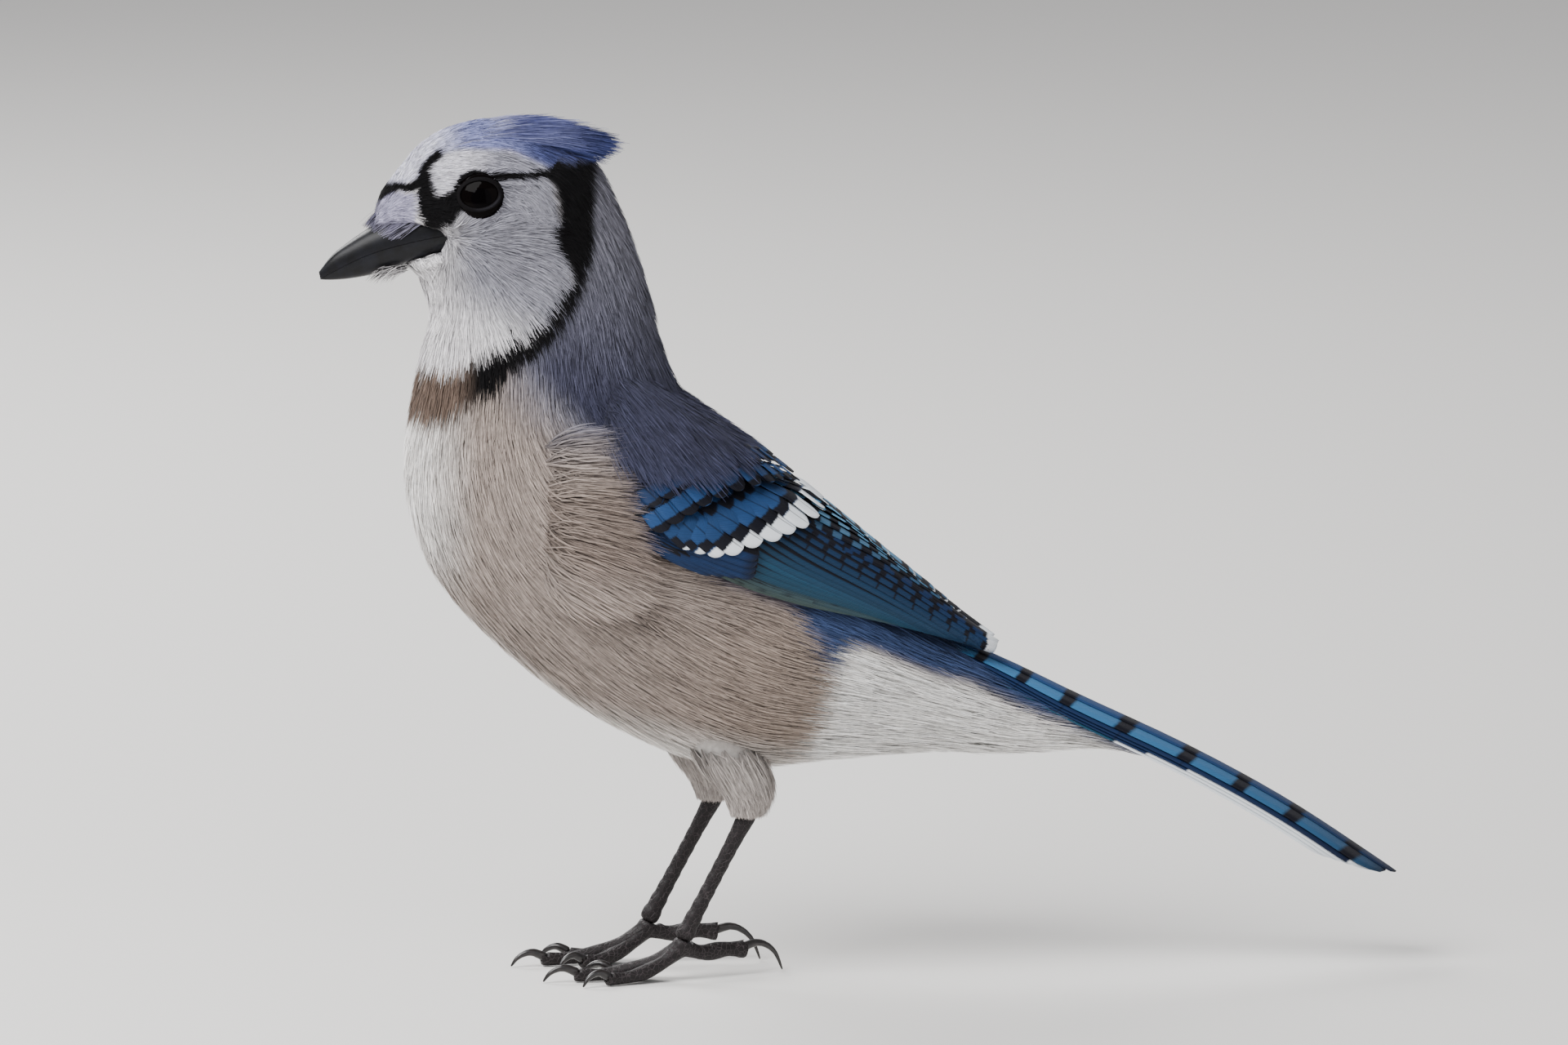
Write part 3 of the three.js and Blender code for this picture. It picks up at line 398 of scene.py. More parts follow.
# One piece from arrays of places in the tables' mm and of faces
def meshObject(name, points, faces, mat, colours=None, uvs=None, extra=None, smoothFaces=False):
    mesh = bpy.data.meshes.new(name)
    points = (np.asarray(points, float).reshape(-1, 3) + shift) * mm
    faces = np.asarray(faces, np.int32)
    corners = faces.shape[1]
    mesh.vertices.add(len(points))
    mesh.vertices.foreach_set("co", points.astype(np.float32).ravel())
    mesh.loops.add(faces.size)
    mesh.loops.foreach_set("vertex_index", faces.ravel())
    mesh.polygons.add(len(faces))
    mesh.polygons.foreach_set("loop_start", np.arange(0, faces.size, corners, dtype=np.int32))
    mesh.polygons.foreach_set("use_smooth", np.full(len(faces), smoothFaces))
    mesh.update(calc_edges=True)
    if colours is not None:
        layer = mesh.color_attributes.new("Plumage", "FLOAT_COLOR", "POINT")
        rgba = np.ones((len(points), 4), np.float32)
        rgba[:, :3] = np.asarray(colours).reshape(-1, 3)
        layer.data.foreach_set("color", rgba.ravel())
    for layerName, values in (uvs or {}).items():
        layer = mesh.uv_layers.new(name=layerName)
        layer.data.foreach_set("uv", np.asarray(values, np.float32).reshape(-1, 2)[faces.ravel()].ravel())
    for attrName, values in (extra or {}).items():
        layer = mesh.attributes.new(attrName, "FLOAT", "POINT")
        layer.data.foreach_set("value", np.asarray(values, np.float32).ravel())
    mesh.validate()
    made = bpy.data.objects.new(name, mesh)
    bpy.context.scene.collection.objects.link(made)
    mesh.materials.append(mat)
    return made


# Quads between neighbouring rows of a stack of grids shaped (pieces, rows, columns)
def gridFaces(pieces, rows, columns, flip=False):
    first = np.arange(pieces)[:, None, None] * rows * columns + np.arange(rows - 1)[None, :, None] * columns
    a = (first + np.arange(columns - 1)[None, None, :]).ravel()
    quads = np.stack([a, a + 1, a + 1 + columns, a + columns], axis=-1)
    return quads[:, ::-1] if flip else quads


# The skin is one closed mesh in place of the flesh solids, with a short stump for each thigh. It takes the plumage's
# colour at the brightness shade: painted shade in the gaps between the tufts
skinGrid = {"rings": 181, "around": 96, "thighRings": 15, "thighSides": 24, "thighScale": 0.8, "shade": 0.5}


def buildSkin():
    nu, nv = skinGrid["rings"], skinGrid["around"]
    down, sides = skinGrid["thighRings"], skinGrid["thighSides"]
    u, v = np.meshgrid(np.linspace(0, 1, nu), np.arange(nv) / nv, indexing="ij")
    points, normals, _, _ = sample(skinSurface, u, v)
    ring = np.arange(nv)
    faces = []
    for i in range(nu - 1):
        a = i * nv
        faces += [(a + j, a + (j + 1) % nv, a + nv + (j + 1) % nv, a + nv + j) for j in ring]
    mesh = bpy.data.meshes.new("skin")
    bm = bmesh.new()
    verts = [bm.verts.new((p + shift) * mm) for p in points.reshape(-1, 3)]
    for f in faces:
        bm.faces.new([verts[i] for i in f])
    bm.verts.ensure_lookup_table()
    uv = bm.loops.layers.uv.new("OFBake")
    place = {vert: (float(b), float(a)) for vert, a, b in zip(verts, u.ravel(), v.ravel())}
    for loops in (verts[:nv], verts[-nv:]):
        bmesh.ops.contextual_create(bm, geom=loops)
    for face in bm.faces:
        wide = [place[l.vert][0] for l in face.loops]
        for loop in face.loops:
            x, y = place[loop.vert]
            if max(wide) - min(wide) > 0.5 and x < 0.5 and len(face.loops) == 4:
                x += 1.0
            loop[uv].uv = (0.02 + 0.8 * x, 0.02 + 0.96 * y)
    for leg in legs:
        ringBefore = None
        for k, (centre, radius) in enumerate(thighRings(leg, skinGrid["thighScale"], down)):
            made = bmesh.ops.create_circle(bm, segments=sides, radius=max(radius, 0.5) * mm,
                                           matrix=Matrix.Translation((Vector(centre) + Vector(shift)) * mm))["verts"]
            if ringBefore:
                for j in range(sides):
                    face = bm.faces.new([ringBefore[j], ringBefore[(j + 1) % sides], made[(j + 1) % sides], made[j]])
                    for loop, (dj, dk) in zip(face.loops, ((0, -1), (1, -1), (1, 0), (0, 0))):
                        column = 0.85 if leg["y"] < 0 else 0.93
                        loop[uv].uv = (column + 0.06 * (j + dj) / sides, 0.05 + 0.3 * (k + dk) / down)
            ringBefore = made
        bmesh.ops.contextual_create(bm, geom=ringBefore)
    bmesh.ops.recalc_face_normals(bm, faces=bm.faces)
    bm.to_mesh(mesh)
    bm.free()
    co = np.empty(len(mesh.vertices) * 3, np.float32)
    mesh.vertices.foreach_get("co", co)
    layer = mesh.color_attributes.new("Plumage", "FLOAT_COLOR", "POINT")
    rgba = np.ones((len(mesh.vertices), 4), np.float32)
    # the plumage's colour darkened by the skin's shade factor: painted shade where the skin shows between the tufts
    rgba[:, :3] = plumageColour(co.reshape(-1, 3) / mm - shift) * skinGrid["shade"]
    layer.data.foreach_set("color", rgba.ravel())
    mesh.polygons.foreach_set("use_smooth", np.ones(len(mesh.polygons), bool))
    mesh.materials.append(skinMaterial)
    made = bpy.data.objects.new("skin", mesh)
    bpy.context.scene.collection.objects.link(made)
    return made


legs = [
    {"side": "left", "y": -12.5, "hip": (-30.0, 60.0), "ankle": (-25.4, 37.2)},
    {"side": "right", "y": 11.5, "hip": (-34.0, 60.0), "ankle": (-30.4, 37.2)},
]
thighRadii = [8.0, 9.0, 8.8, 7.8, 6.5, 5.3, 4.4, 3.4]


def thighRings(leg, scale, count):
    (hx, hz), (ax, az), y = leg["hip"], leg["ankle"], leg["y"]
    out = math.copysign(1, y)
    path = [(hx - 7, y - out * 4.5, hz + 4), (hx + 0.4 * (ax - hx) - 2, y - out * 1.6, hz + 0.42 * (az - hz)),
            (ax - 0.6, y, az + 5.4), (ax - 0.4, y, az + 0.6)]
    at = np.linspace(0, 1, count)
    centres = curveAt(path, at)
    radii = np.interp(at, np.linspace(0, 1, len(thighRadii)), thighRadii) * scale
    return list(zip(centres, radii))


def thighSurface(leg):
    rings = thighRings(leg, 0.85, 41)
    turn = np.linspace(0, 2 * math.pi, 49)
    points = np.array([[c + r * np.array([math.cos(t), math.sin(t), 0]) for t in turn] for c, r in rings])
    return turnOutwards(makeSurface(points, True), np.array([c for c, _ in rings])[:, None])


skin = buildSkin()
print("skin:", len(skin.data.polygons), "faces")

# Each tuft is a brush of flat strands that start together, spread and end at ragged lengths.
coat = {
    # length of a tuft at each station of the trunk, from the undertail to the face
    "length": [16, 16, 15, 14, 13.5, 13, 12.5, 12, 11, 9.6, 8.4, 7.2, 6.2, 5.6, 5.0, 4.6, 4.1, 3.6, 3.1, 2.7, 2.3],
    "width": 0.42,  # of the length
    "spacing": 0.165,  # of the length
    "strands": (9, 14),  # in a tuft of the head and of the body
    "thin": (0.15, 0.008),  # width of a strand in mm, and how much it grows with each mm of length
    "uneven": 0.25,
    "gape": (-92.5, 165.5),  # the cheek's feathers spread back from here
    "zones": [0.16, 0.3, 0.42, 0.5, 0.58, 0.66, 0.72, 0.78, 0.85, 0.92],  # where one piece of the coat ends
    "headFrom": 7,  # the first of these pieces that belongs to the head
    "headTone": (0.28, 0.07),
    "tone": (0.19, 0.05),  # how much the brightness differs between strands and between tufts
}


def growTufts(name, surface, u, v, flow, length, width, colourAt, strands, lift=(0.1, 1.0), stiff=0.0, rows=4,
              uvPlace=None, tone=coat["tone"], thin=coat["thin"]):
    n = len(u)
    p0, n0, pu, pv = sample(surface, u, v)
    flow = unit(flow - n0 * np.sum(flow * n0, axis=-1, keepdims=True))
    side = np.cross(n0, flow)
    t = np.linspace(0, 1, rows)
    spread = np.linspace(-1, 1, strands)[None, :] + rng.normal(0, 0.15, (n, strands))
    reach = np.clip(1 - 0.28 * spread**2 + rng.normal(0, coat["uneven"], (n, strands)) * 0.5, 0.35, 1.25)
    bend = rng.normal(0, 0.09, (n, strands))
    along = length[:, None, None] * reach[..., None] * t
    fan = np.sin(t * 1.9) * 0.93
    across = width[:, None, None] * 0.5 * (spread[..., None] * fan + bend[..., None] * t**2)
    thick = (thin[0] + thin[1] * length)[:, None, None] * (1 - 0.85 * t**2.5)
    edge = np.array([-0.5, 0.5])
    sides = across[..., None] + thick[..., None] * edge
    roll = rng.normal(0, 0.45, (n, strands, 1, 1))
    rise = (lift[0] + (lift[1] - lift[0]) * np.sqrt(t))[None, None, :, None] * np.ones_like(sides)
    rise = rise * (0.6 + 0.8 * rng.random((n, strands, 1, 1))) + roll * thick[..., None] * edge
    step = along[..., None, None] * flow[:, None, None, None] + sides[..., None] * side[:, None, None, None]
    du, dv = stepOn(pu[:, None, None, None], pv[:, None, None, None], step)
    foot, normal, _, _ = sample(surface, u[:, None, None, None] + du, v[:, None, None, None] + dv)
    scale = (length / np.mean(length))[:, None, None, None, None] ** 0.5
    hug = foot + normal * rise[..., None] * scale
    straight = p0[:, None, None, None] + step + n0[:, None, None, None] * rise[..., None] * scale
    k = np.broadcast_to(stiff, (n,))[:, None, None, None, None] * (t**1.5)[None, None, :, None, None]
    points = hug * (1 - k) + straight * k
    base = colourAt(foot[:, :, rows // 2].mean(axis=2), u, v)
    # strands and tufts differ at random in brightness, and each strand darkens towards its root: painted shade in the
    # gaps between the strands
    shade = 1 + rng.normal(0, tone[0], (n, strands)) + rng.normal(0, tone[1], (n, 1))
    shade = np.clip(shade, 0.35, 1.5)[..., None] * (0.5 + 0.6 * t)
    colours = np.clip(base[:, :, None] * shade[..., None], 0, 1)[:, :, :, None] * np.ones((1, 1, 1, 2, 1))
    ru, rv = (u, v) if uvPlace is None else uvPlace(u, v)
    patchX = rv[:, None, None, None] + 0.0015 * sides / (width[:, None, None, None] * 0.5)
    patchY = ru[:, None, None, None] + 0.003 * (t[None, None, :, None] - 0.5) + 0 * sides
    return meshObject(name, points, gridFaces(n * strands, rows, 2), coatMaterial, colours,
                      {"OFBake": np.stack([patchX, patchY], axis=-1)})


# Evenly spaced roots on the trunk, row by row from the undertail to the face
def trunkRoots():
    length = np.array(coat["length"], float)
    stations = np.linspace(0, 1, len(length))
    fine = np.linspace(0, 1, 2001)
    _, _, pu, _ = sample(skinSurface, fine[:, None], np.linspace(0, 1, 33)[None, :])
    reach = np.linalg.norm(pu, axis=-1)
    gap = np.interp(fine, stations, length) * coat["spacing"]
    rowAt = np.cumsum(reach.max(axis=1) / gap) / 2000
    us, vs = [], []
    for k in range(int(rowAt[-1])):
        u = np.interp(k + 0.5, rowAt, fine)
        ring = sample(skinSurface, np.full(241, u), np.linspace(0, 1, 241))[0]
        arc = np.concatenate([[0], np.cumsum(np.linalg.norm(np.diff(ring, axis=0), axis=1))])
        spacing = np.interp(u, stations, length) * coat["spacing"]
        count = max(6, int(arc[-1] / spacing))
        at = (np.arange(count) + 0.5 * (k % 2) + rng.uniform(-0.3, 0.3, count)) / count % 1
        v = np.interp(at * arc[-1], arc, np.linspace(0, 1, 241))
        reachHere = np.linalg.norm(sample(skinSurface, np.full(count, u), v)[2], axis=-1)
        keep = rng.random(count) < np.clip(reachHere / reachHere.max(), 0.3, 1)
        jitter = rng.uniform(-0.3, 0.3, count) * spacing / np.maximum(reachHere, 1)
        us.append((u + jitter)[keep])
        vs.append(v[keep])
    return np.clip(np.concatenate(us), 0, 1), np.concatenate(vs)


# The eye's middle in the side view, and half the length and height of its opening
eye = {"x": -84.7, "z": 175.6, "long": 4.2, "high": 3.0, "clear": 4.75, "raised": 0.35}
wings = {side: wingSurface(side, wingShape["dive"], 2.2) for side in (-1, 1)}
shoulders = {side: wingSurface(side, 0.8, 3.6) for side in (-1, 1)}
wingOutline = [(p[0], p[1]) for p in
               [(-44, 104), (-38, 118), (-30, 119), (-13, 106), (6, 90), (28, 72.5), (4, 80), (-22, 90), (-42, 100)]]


def plainColour(points, u, v):
    return plumageColour(points)


def onSkin(u, v):
    return 0.02 + 0.96 * u, 0.02 + 0.8 * v


def buildCoat():
    u, v = trunkRoots()
    p, n, pu, pv = sample(skinSurface, u, v)
    x, y, z = p.T
    eyeWay = np.stack([x - eye["x"], 0 * x, z - eye["z"]], axis=-1)
    eyeFar = np.hypot(eyeWay[:, 0], eyeWay[:, 2] * eye["long"] / eye["high"])
    atBill = depthIn(x, z, bill["bare"]) > -0.1
    underWing = (depthIn(x, z, wingOutline) > 0) & (np.abs(y) > 6)
    keep = (eyeFar > eye["clear"]) & ~atBill & ~underWing & (u > 0.012)
    u, v, p, n, pu, eyeWay, eyeFar = (a[keep] for a in (u, v, p, n, pu, eyeWay, eyeFar))
    x, y, z = p.T
    length = np.interp(u, np.linspace(0, 1, len(coat["length"])), coat["length"]) * rng.uniform(0.85, 1.15, len(u))
    flow = unit(-pu)
    # on the cheek they spread back from the gape
    fromGape = np.stack([x - coat["gape"][0], 0 * x, z - coat["gape"][1]], axis=-1)
    cheek = smooth(34, 16, np.linalg.norm(fromGape, axis=1)) * smooth(174, 169, z) * (x > -93.5)
    flow = unit(flow * (1 - cheek)[:, None] + unit(fromGape) * cheek[:, None])
    # feathers part round the eye and, at the side of the breast, sweep back over the front of the wing
    around = smooth(9.5, 4.5, eyeFar)
    flow = unit(flow + unit(eyeWay) * (around * 0.9)[:, None])
    length = np.where((eyeFar < 8.5) & (eyeWay[:, 0] < 1), np.minimum(length, 1.0 + 0.3 * (eyeFar - 4)), length)
    sweep = smooth(-80, -62, x) * smooth(84, 96, z) * smooth(136, 122, z) * smooth(8, 16, np.abs(y))
    flow = unit(flow + np.array([1.0, 0, 0.45]) * (sweep * 0.9)[:, None])
    length = length * (1 + 0.35 * sweep)
    loose = smooth(60, 48, z) * smooth(-80, -50, x)
    stiff = 0.12 + 0.45 * loose * rng.random(len(u)) + 0.6 * sweep
    width = length * coat["width"]
    zone = np.digitize(u, coat["zones"])
    made = []
    for k in range(len(coat["zones"]) + 1):
        pick = zone == k
        head = k >= coat["headFrom"]
        made.append(growTufts(f"coat_{k}", skinSurface, u[pick], v[pick], flow[pick], length[pick], width[pick],
                              plainColour, coat["strands"][0 if head else 1], (0.05, 0.6) if head else (0.1, 1.5),
                              stiff[pick], 3 if k > 8 else 4, onSkin, coat["headTone" if head else "tone"]))
        print("coat", k, int(pick.sum()), "tufts,", len(made[-1].data.polygons) * 2, "triangles")
    return made


coatPieces = buildCoat()


# The mantle's feathers lie over the shoulder of each wing, as far back as the coverts' bars
scapulars = {"edge": [(-58, 117.0), (-50.5, 115.5), (-46.5, 111.5), (-35.7, 109.8), (-28.4, 110.8), (-22.4, 111.6),
                      (-17.0, 111.4), (-12.0, 109.8), (-12, 150), (-60, 150)],
             "length": 8.5, "grid": (66, 38), "lift": (1.5, 3.2), "fall": 0.5}


def buildScapulars(side):
    surface = shoulders[side]
    nu, nv = scapulars["grid"]
    u, v = np.meshgrid(np.linspace(0.0, 0.52, nu), np.linspace(-0.06, 0.92, nv), indexing="ij")
    u = (u + rng.uniform(-0.005, 0.005, u.shape)).ravel()
    v = (v + rng.uniform(-0.016, 0.016, v.shape)).ravel()
    p, n, pu, pv = sample(surface, u, v)
    flow = unit(unit(pu) + scapulars["fall"] * unit(pv) * smooth(-0.05, 0.25, v)[:, None])
    keep = depthIn(p[:, 0] + scapulars["length"] * 0.7, p[:, 2] - 5.0, scapulars["edge"]) > 1.6
    u, v, flow = u[keep], v[keep], flow[keep]
    length = scapulars["length"] * rng.uniform(0.85, 1.15, len(u))
    return growTufts(f"mantle_{'right' if side > 0 else 'left'}", surface, u, v, flow, length, length * 0.45,
                     plainColour, 15, scapulars["lift"], 0.05)


mantlePieces = [buildScapulars(side) for side in (-1, 1)]

# Long soft feathers of the breast's side that lie over the front of each wing
breastSide = {"x": (-72, -57), "z": (92, 122), "length": 15.0, "count": 520, "lift": (0.6, 5.2)}


def buildBreastSide(side):
    fine = np.meshgrid(np.linspace(0.3, 0.5, 161), np.linspace(0.1, 0.45, 161), indexing="ij")
    u, v = (a.ravel() for a in fine)
    v = v if side > 0 else 1 - v
    p = sample(skinSurface, u, v)[0]
    (x0, x1), (z0, z1) = breastSide["x"], breastSide["z"]
    inside = (p[:, 0] > x0) & (p[:, 0] < x1) & (p[:, 2] > z0) & (p[:, 2] < z1) & (p[:, 1] * side > 8)
    chosen = rng.choice(np.flatnonzero(inside), breastSide["count"], replace=False)
    u, v, p = u[chosen], v[chosen], p[chosen]
    tilt = np.interp(p[:, 2], [z0, z1], [-0.55, 0.05])
    flow = np.stack([np.ones(len(u)), 0 * u, tilt], axis=-1)
    length = breastSide["length"] * rng.uniform(0.8, 1.1, len(u)) * np.interp(p[:, 0], [x0, x1], [1.0, 0.7])
    return growTufts(f"breast_{'right' if side > 0 else 'left'}", skinSurface, u, v, unit(flow), length, length * 0.4,
                     plainColour, 16, breastSide["lift"], 0.45, uvPlace=onSkin)


breastPieces = [buildBreastSide(side) for side in (-1, 1)]

# Tufts down each thigh, shorter towards the ankle
thighCoat = {"rows": 26, "around": 28, "from": 0.3, "to": 0.97, "jitter": (0.012, 0.018), "length": 7.5,
             "width": 0.35, "strands": 14, "lift": (0.1, 1.0), "stiff": 0.35}


def thighColour(points, u, v):
    return np.broadcast_to(inks["thigh"], points.shape)


def buildThighCoat(leg):
    surface = thighSurface(leg)
    down = np.linspace(thighCoat["from"], thighCoat["to"], thighCoat["rows"])
    around = np.linspace(0, thighCoat["to"], thighCoat["around"])
    u, v = (a.ravel() for a in np.meshgrid(down, around, indexing="ij"))
    jitterU, jitterV = thighCoat["jitter"]
    u = u + rng.uniform(-jitterU, jitterU, u.shape)
    v = v + rng.uniform(-jitterV, jitterV, v.shape)
    slope = sample(surface, u, v)[2]
    length = thighCoat["length"] * rng.uniform(0.8, 1.2, len(u)) * np.interp(u, [0.3, 0.8, 1], [1.2, 0.75, 0.5])
    return growTufts(f"thigh_coat_{leg['side']}", surface, u, v, unit(slope), length, length * thighCoat["width"],
                     thighColour, thighCoat["strands"], thighCoat["lift"], thighCoat["stiff"])


thighPieces = [buildThighCoat(leg) for leg in legs]
print("mantle, breast and thigh tufts:", len(mantlePieces + breastPieces + thighPieces), "pieces")



# Barbs are a lengthwise noise, and bars, dark inner halves and white tips follow the vane's own attributes
def vaneMaterial(name, roughness):
    made, tree, bsdf = material(name, roughness)
    bsdf.inputs["Specular IOR Level"].default_value = 0.18
    bsdf.inputs["Sheen Weight"].default_value = 0.03
    uv = node(tree, "ShaderNodeUVMap", (-1900, 0), uv_map="Vane")
    xy = node(tree, "ShaderNodeSeparateXYZ", (-1700, 0), {0: uv.outputs["UV"]})
    across = node(tree, "ShaderNodeMath", (-1500, 100), {0: xy.outputs["X"], 1: 10.0}, operation="MULTIPLY")
    fromTip = node(tree, "ShaderNodeMath", (-1500, -100), {0: xy.outputs["Y"], 1: 100.0}, operation="MULTIPLY")
    attrs = {k: node(tree, "ShaderNodeAttribute", (-1500, -300 - 180 * i), attribute_name=k).outputs["Fac"]
             for i, k in enumerate(("barLength", "barShare", "whiteTip", "darkBelow"))}
    wobble = node(tree, "ShaderNodeTexNoise", (-1500, -1100), {"Vector": uv.outputs["UV"], "Scale": 45.0,
                                                               "Detail": 2.0})
    slant = node(tree, "ShaderNodeMath", (-1300, 100), {0: across.outputs[0]}, operation="ABSOLUTE")
    bow = node(tree, "ShaderNodeMath", (-1150, 0), {0: slant.outputs[0], 1: -0.3, 2: fromTip.outputs[0]},
               operation="MULTIPLY_ADD")
    noisy = node(tree, "ShaderNodeMath", (-1000, 0), {0: wobble.outputs["Fac"], 1: 0.9, 2: bow.outputs[0]},
                 operation="MULTIPLY_ADD")
    period = node(tree, "ShaderNodeMath", (-850, 0), {0: noisy.outputs[0], 1: attrs["barLength"]}, operation="DIVIDE")
    part = node(tree, "ShaderNodeMath", (-700, 0), {0: period.outputs[0]}, operation="FRACT")
    centred = node(tree, "ShaderNodeMath", (-560, 0), {0: part.outputs[0], 1: 0.5}, operation="SUBTRACT")
    folded = node(tree, "ShaderNodeMath", (-420, 0), {0: centred.outputs[0]}, operation="ABSOLUTE")
    edge = node(tree, "ShaderNodeMath", (-280, 0), {0: attrs["barShare"], 1: folded.outputs[0]}, operation="SUBTRACT")
    bar = node(tree, "ShaderNodeMapRange", (-140, 0), {"Value": edge.outputs[0], "From Min": -0.03, "From Max": 0.03})
    streak = node(tree, "ShaderNodeMath", (-1300, 350), {0: slant.outputs[0], 1: -1.3, 2: fromTip.outputs[0]},
                  operation="MULTIPLY_ADD")
    fine = node(tree, "ShaderNodeTexNoise", (-1000, 350), {"Scale": 4.5, "Detail": 1.0, "W": 0.0},
                noise_dimensions="1D")
    tree.links.new(streak.outputs[0], fine.inputs["W"])
    fineTone = node(tree, "ShaderNodeMapRange", (-800, 350), {"Value": fine.outputs["Fac"], "From Min": 0.25,
                                                              "From Max": 0.75, "To Min": 0.72, "To Max": 1.2})
    colour = node(tree, "ShaderNodeVertexColor", (-800, 600), layer_name="Plumage")
    toned = node(tree, "ShaderNodeVectorMath", (-500, 500), {0: colour.outputs["Color"]}, operation="SCALE")
    tree.links.new(fineTone.outputs["Result"], toned.inputs["Scale"])
    barred = node(tree, "ShaderNodeMix", (50, 300), {0: bar.outputs["Result"], 6: toned.outputs["Vector"],
                                                    7: (*linear("#0a0b16"), 1)}, data_type="RGBA")
    dark = node(tree, "ShaderNodeMath", (-900, -500), {0: attrs["darkBelow"], 1: across.outputs[0]},
                operation="SUBTRACT")
    darkEdge = node(tree, "ShaderNodeMapRange", (-700, -500), {"Value": dark.outputs[0], "From Min": -0.1,
                                                               "From Max": 0.25})
    inner = node(tree, "ShaderNodeMix", (250, 250), {0: darkEdge.outputs["Result"], 6: barred.outputs[2],
                                                   7: (*linear("#101018"), 1)}, data_type="RGBA")
    tipGap = node(tree, "ShaderNodeMath", (-700, -750), {0: attrs["whiteTip"], 1: noisy.outputs[0]},
                  operation="SUBTRACT")
    tip = node(tree, "ShaderNodeMapRange", (-500, -750), {"Value": tipGap.outputs[0], "From Min": -0.25,
                                                          "From Max": 0.25})
    white = node(tree, "ShaderNodeMix", (450, 200), {0: tip.outputs["Result"], 6: inner.outputs[2],
                                                   7: (*linear("#e6ebf0"), 1)}, data_type="RGBA")
    shaft = node(tree, "ShaderNodeMapRange", (250, -100), {"Value": slant.outputs[0], "From Min": 0.10,
                                                           "From Max": 0.22, "To Min": 0.45, "To Max": 1.0})
    final = node(tree, "ShaderNodeVectorMath", (650, 150), {0: white.outputs[2]}, operation="SCALE")
    tree.links.new(shaft.outputs["Result"], final.inputs["Scale"])
    tree.links.new(final.outputs["Vector"], bsdf.inputs["Base Color"])
    bump = node(tree, "ShaderNodeBump", (650, -300), {"Height": fine.outputs["Fac"], "Strength": 0.35,
                                                      "Distance": 0.0002})
    tree.links.new(bump.outputs["Normal"], bsdf.inputs["Normal"])
    bsdf.location = (900, 100)
    tree.nodes["Material Output"].location = (1200, 100)
    return made


wingMaterial = vaneMaterial("Blue wing feather", 0.5)

blues = {name: np.array(linear(code)) for name, code in {
    "deep": "#142a4e", "blue": "#1e3f6b", "bright": "#386e9b", "pale": "#6fa9cf", "teal": "#1f4860",
    "grey": "#43524f", "night": "#0a0d1f", "white": "#e9edf1"}.items()}

# Rows of the wing from the deepest to the top one. roots and tips are places along the row, from its low
# end to the back: how far from the shoulder to the wing tip, and how far from the top edge to the low edge.
# ink goes from the first feather to the last one. bars: spacing and thickness in mm, and the part of that
# thickness at both ends of the row. nearest: from the feather's tip to its first bar. white: its white tip.
wingRows = [
    {"count": 8, "roots": [(0.36, 1.02), (0.46, 0.9)], "tips": [(0.74, 1.06), (0.9, 1.0), (0.985, 0.9)], "width": 4.6,
     "lift": 0.5, "step": 0.12, "ink": ("grey", "teal"), "bars": (60, 0), "share": (0, 0), "nearest": 30,
     "white": (0, 0), "dark": 0.84},
    {"count": 11, "roots": [(0.36, 0.92), (0.44, 0.36)], "tips": [(0.9, 0.88), (0.99, 0.86), (0.99, 0.4)],
     "width": 6.4, "lift": 1.2, "step": 0.11, "ink": ("teal", "deep"), "bars": (4.7, 2.2), "share": (-2.0, 1.15),
     "nearest": 4, "white": (0, 3.6), "dark": 0.8, "uneven": 1.8},
    {"count": 6, "roots": [(0.46, 0.5), (0.44, 0.05)], "tips": [(0.92, 0.3), (0.85, 0.15), (0.7, 0.02)], "width": 6.4,
     "lift": 2.1, "step": 0.16, "ink": ("deep", "pale"), "bars": (5.4, 2.4), "share": (1.1, 0.8), "nearest": 2.2,
     "white": (0.5, 0.9), "dark": 0.5},
    {"count": 7, "roots": [(0.17, 1.03), (0.25, 0.9)], "tips": [(0.40, 1.03), (0.49, 0.98), (0.48, 0.86)],
     "width": 4.2, "lift": 1.6, "step": 0.1, "ink": ("deep", "deep"), "bars": (60, 1.6), "share": (1, 1),
     "nearest": 0.5, "white": (0, 0), "dark": 0.6},
    {"count": 11, "roots": [(0.17, 0.84), (0.27, 0.75), (0.38, 0.48), (0.45, 0.06)],
     "tips": [(0.33, 0.94), (0.42, 0.91), (0.51, 0.68), (0.565, 0.46), (0.58, 0.06)], "width": 5.6, "lift": 2.5,
     "step": 0.06, "ink": ("blue", "blue"), "bars": (8.5, 2.8), "share": (1, 1), "nearest": 1.2, "white": (1.6, 7.4),
     "dark": -1},
    {"count": 11, "roots": [(0.12, 0.84), (0.2, 0.57), (0.33, 0.27), (0.39, 0.05)],
     "tips": [(0.25, 0.94), (0.34, 0.68), (0.445, 0.38), (0.5, 0.08)], "width": 5.4, "lift": 3.0, "step": 0.05,
     "ink": ("blue", "blue"), "bars": (5.6, 2.4), "share": (0.9, 1), "nearest": 1.0, "white": (0, 0), "dark": -1},
    {"count": 11, "roots": [(0.04, 0.88), (0.12, 0.6), (0.24, 0.3), (0.31, 0.06)],
     "tips": [(0.185, 0.93), (0.28, 0.66), (0.39, 0.36), (0.445, 0.08)], "width": 5.0, "lift": 3.4, "step": 0.04,
     "ink": ("deep", "blue"), "bars": (5.2, 1.9), "share": (0.8, 1), "nearest": 0.9, "white": (0, 0), "dark": -1},
]


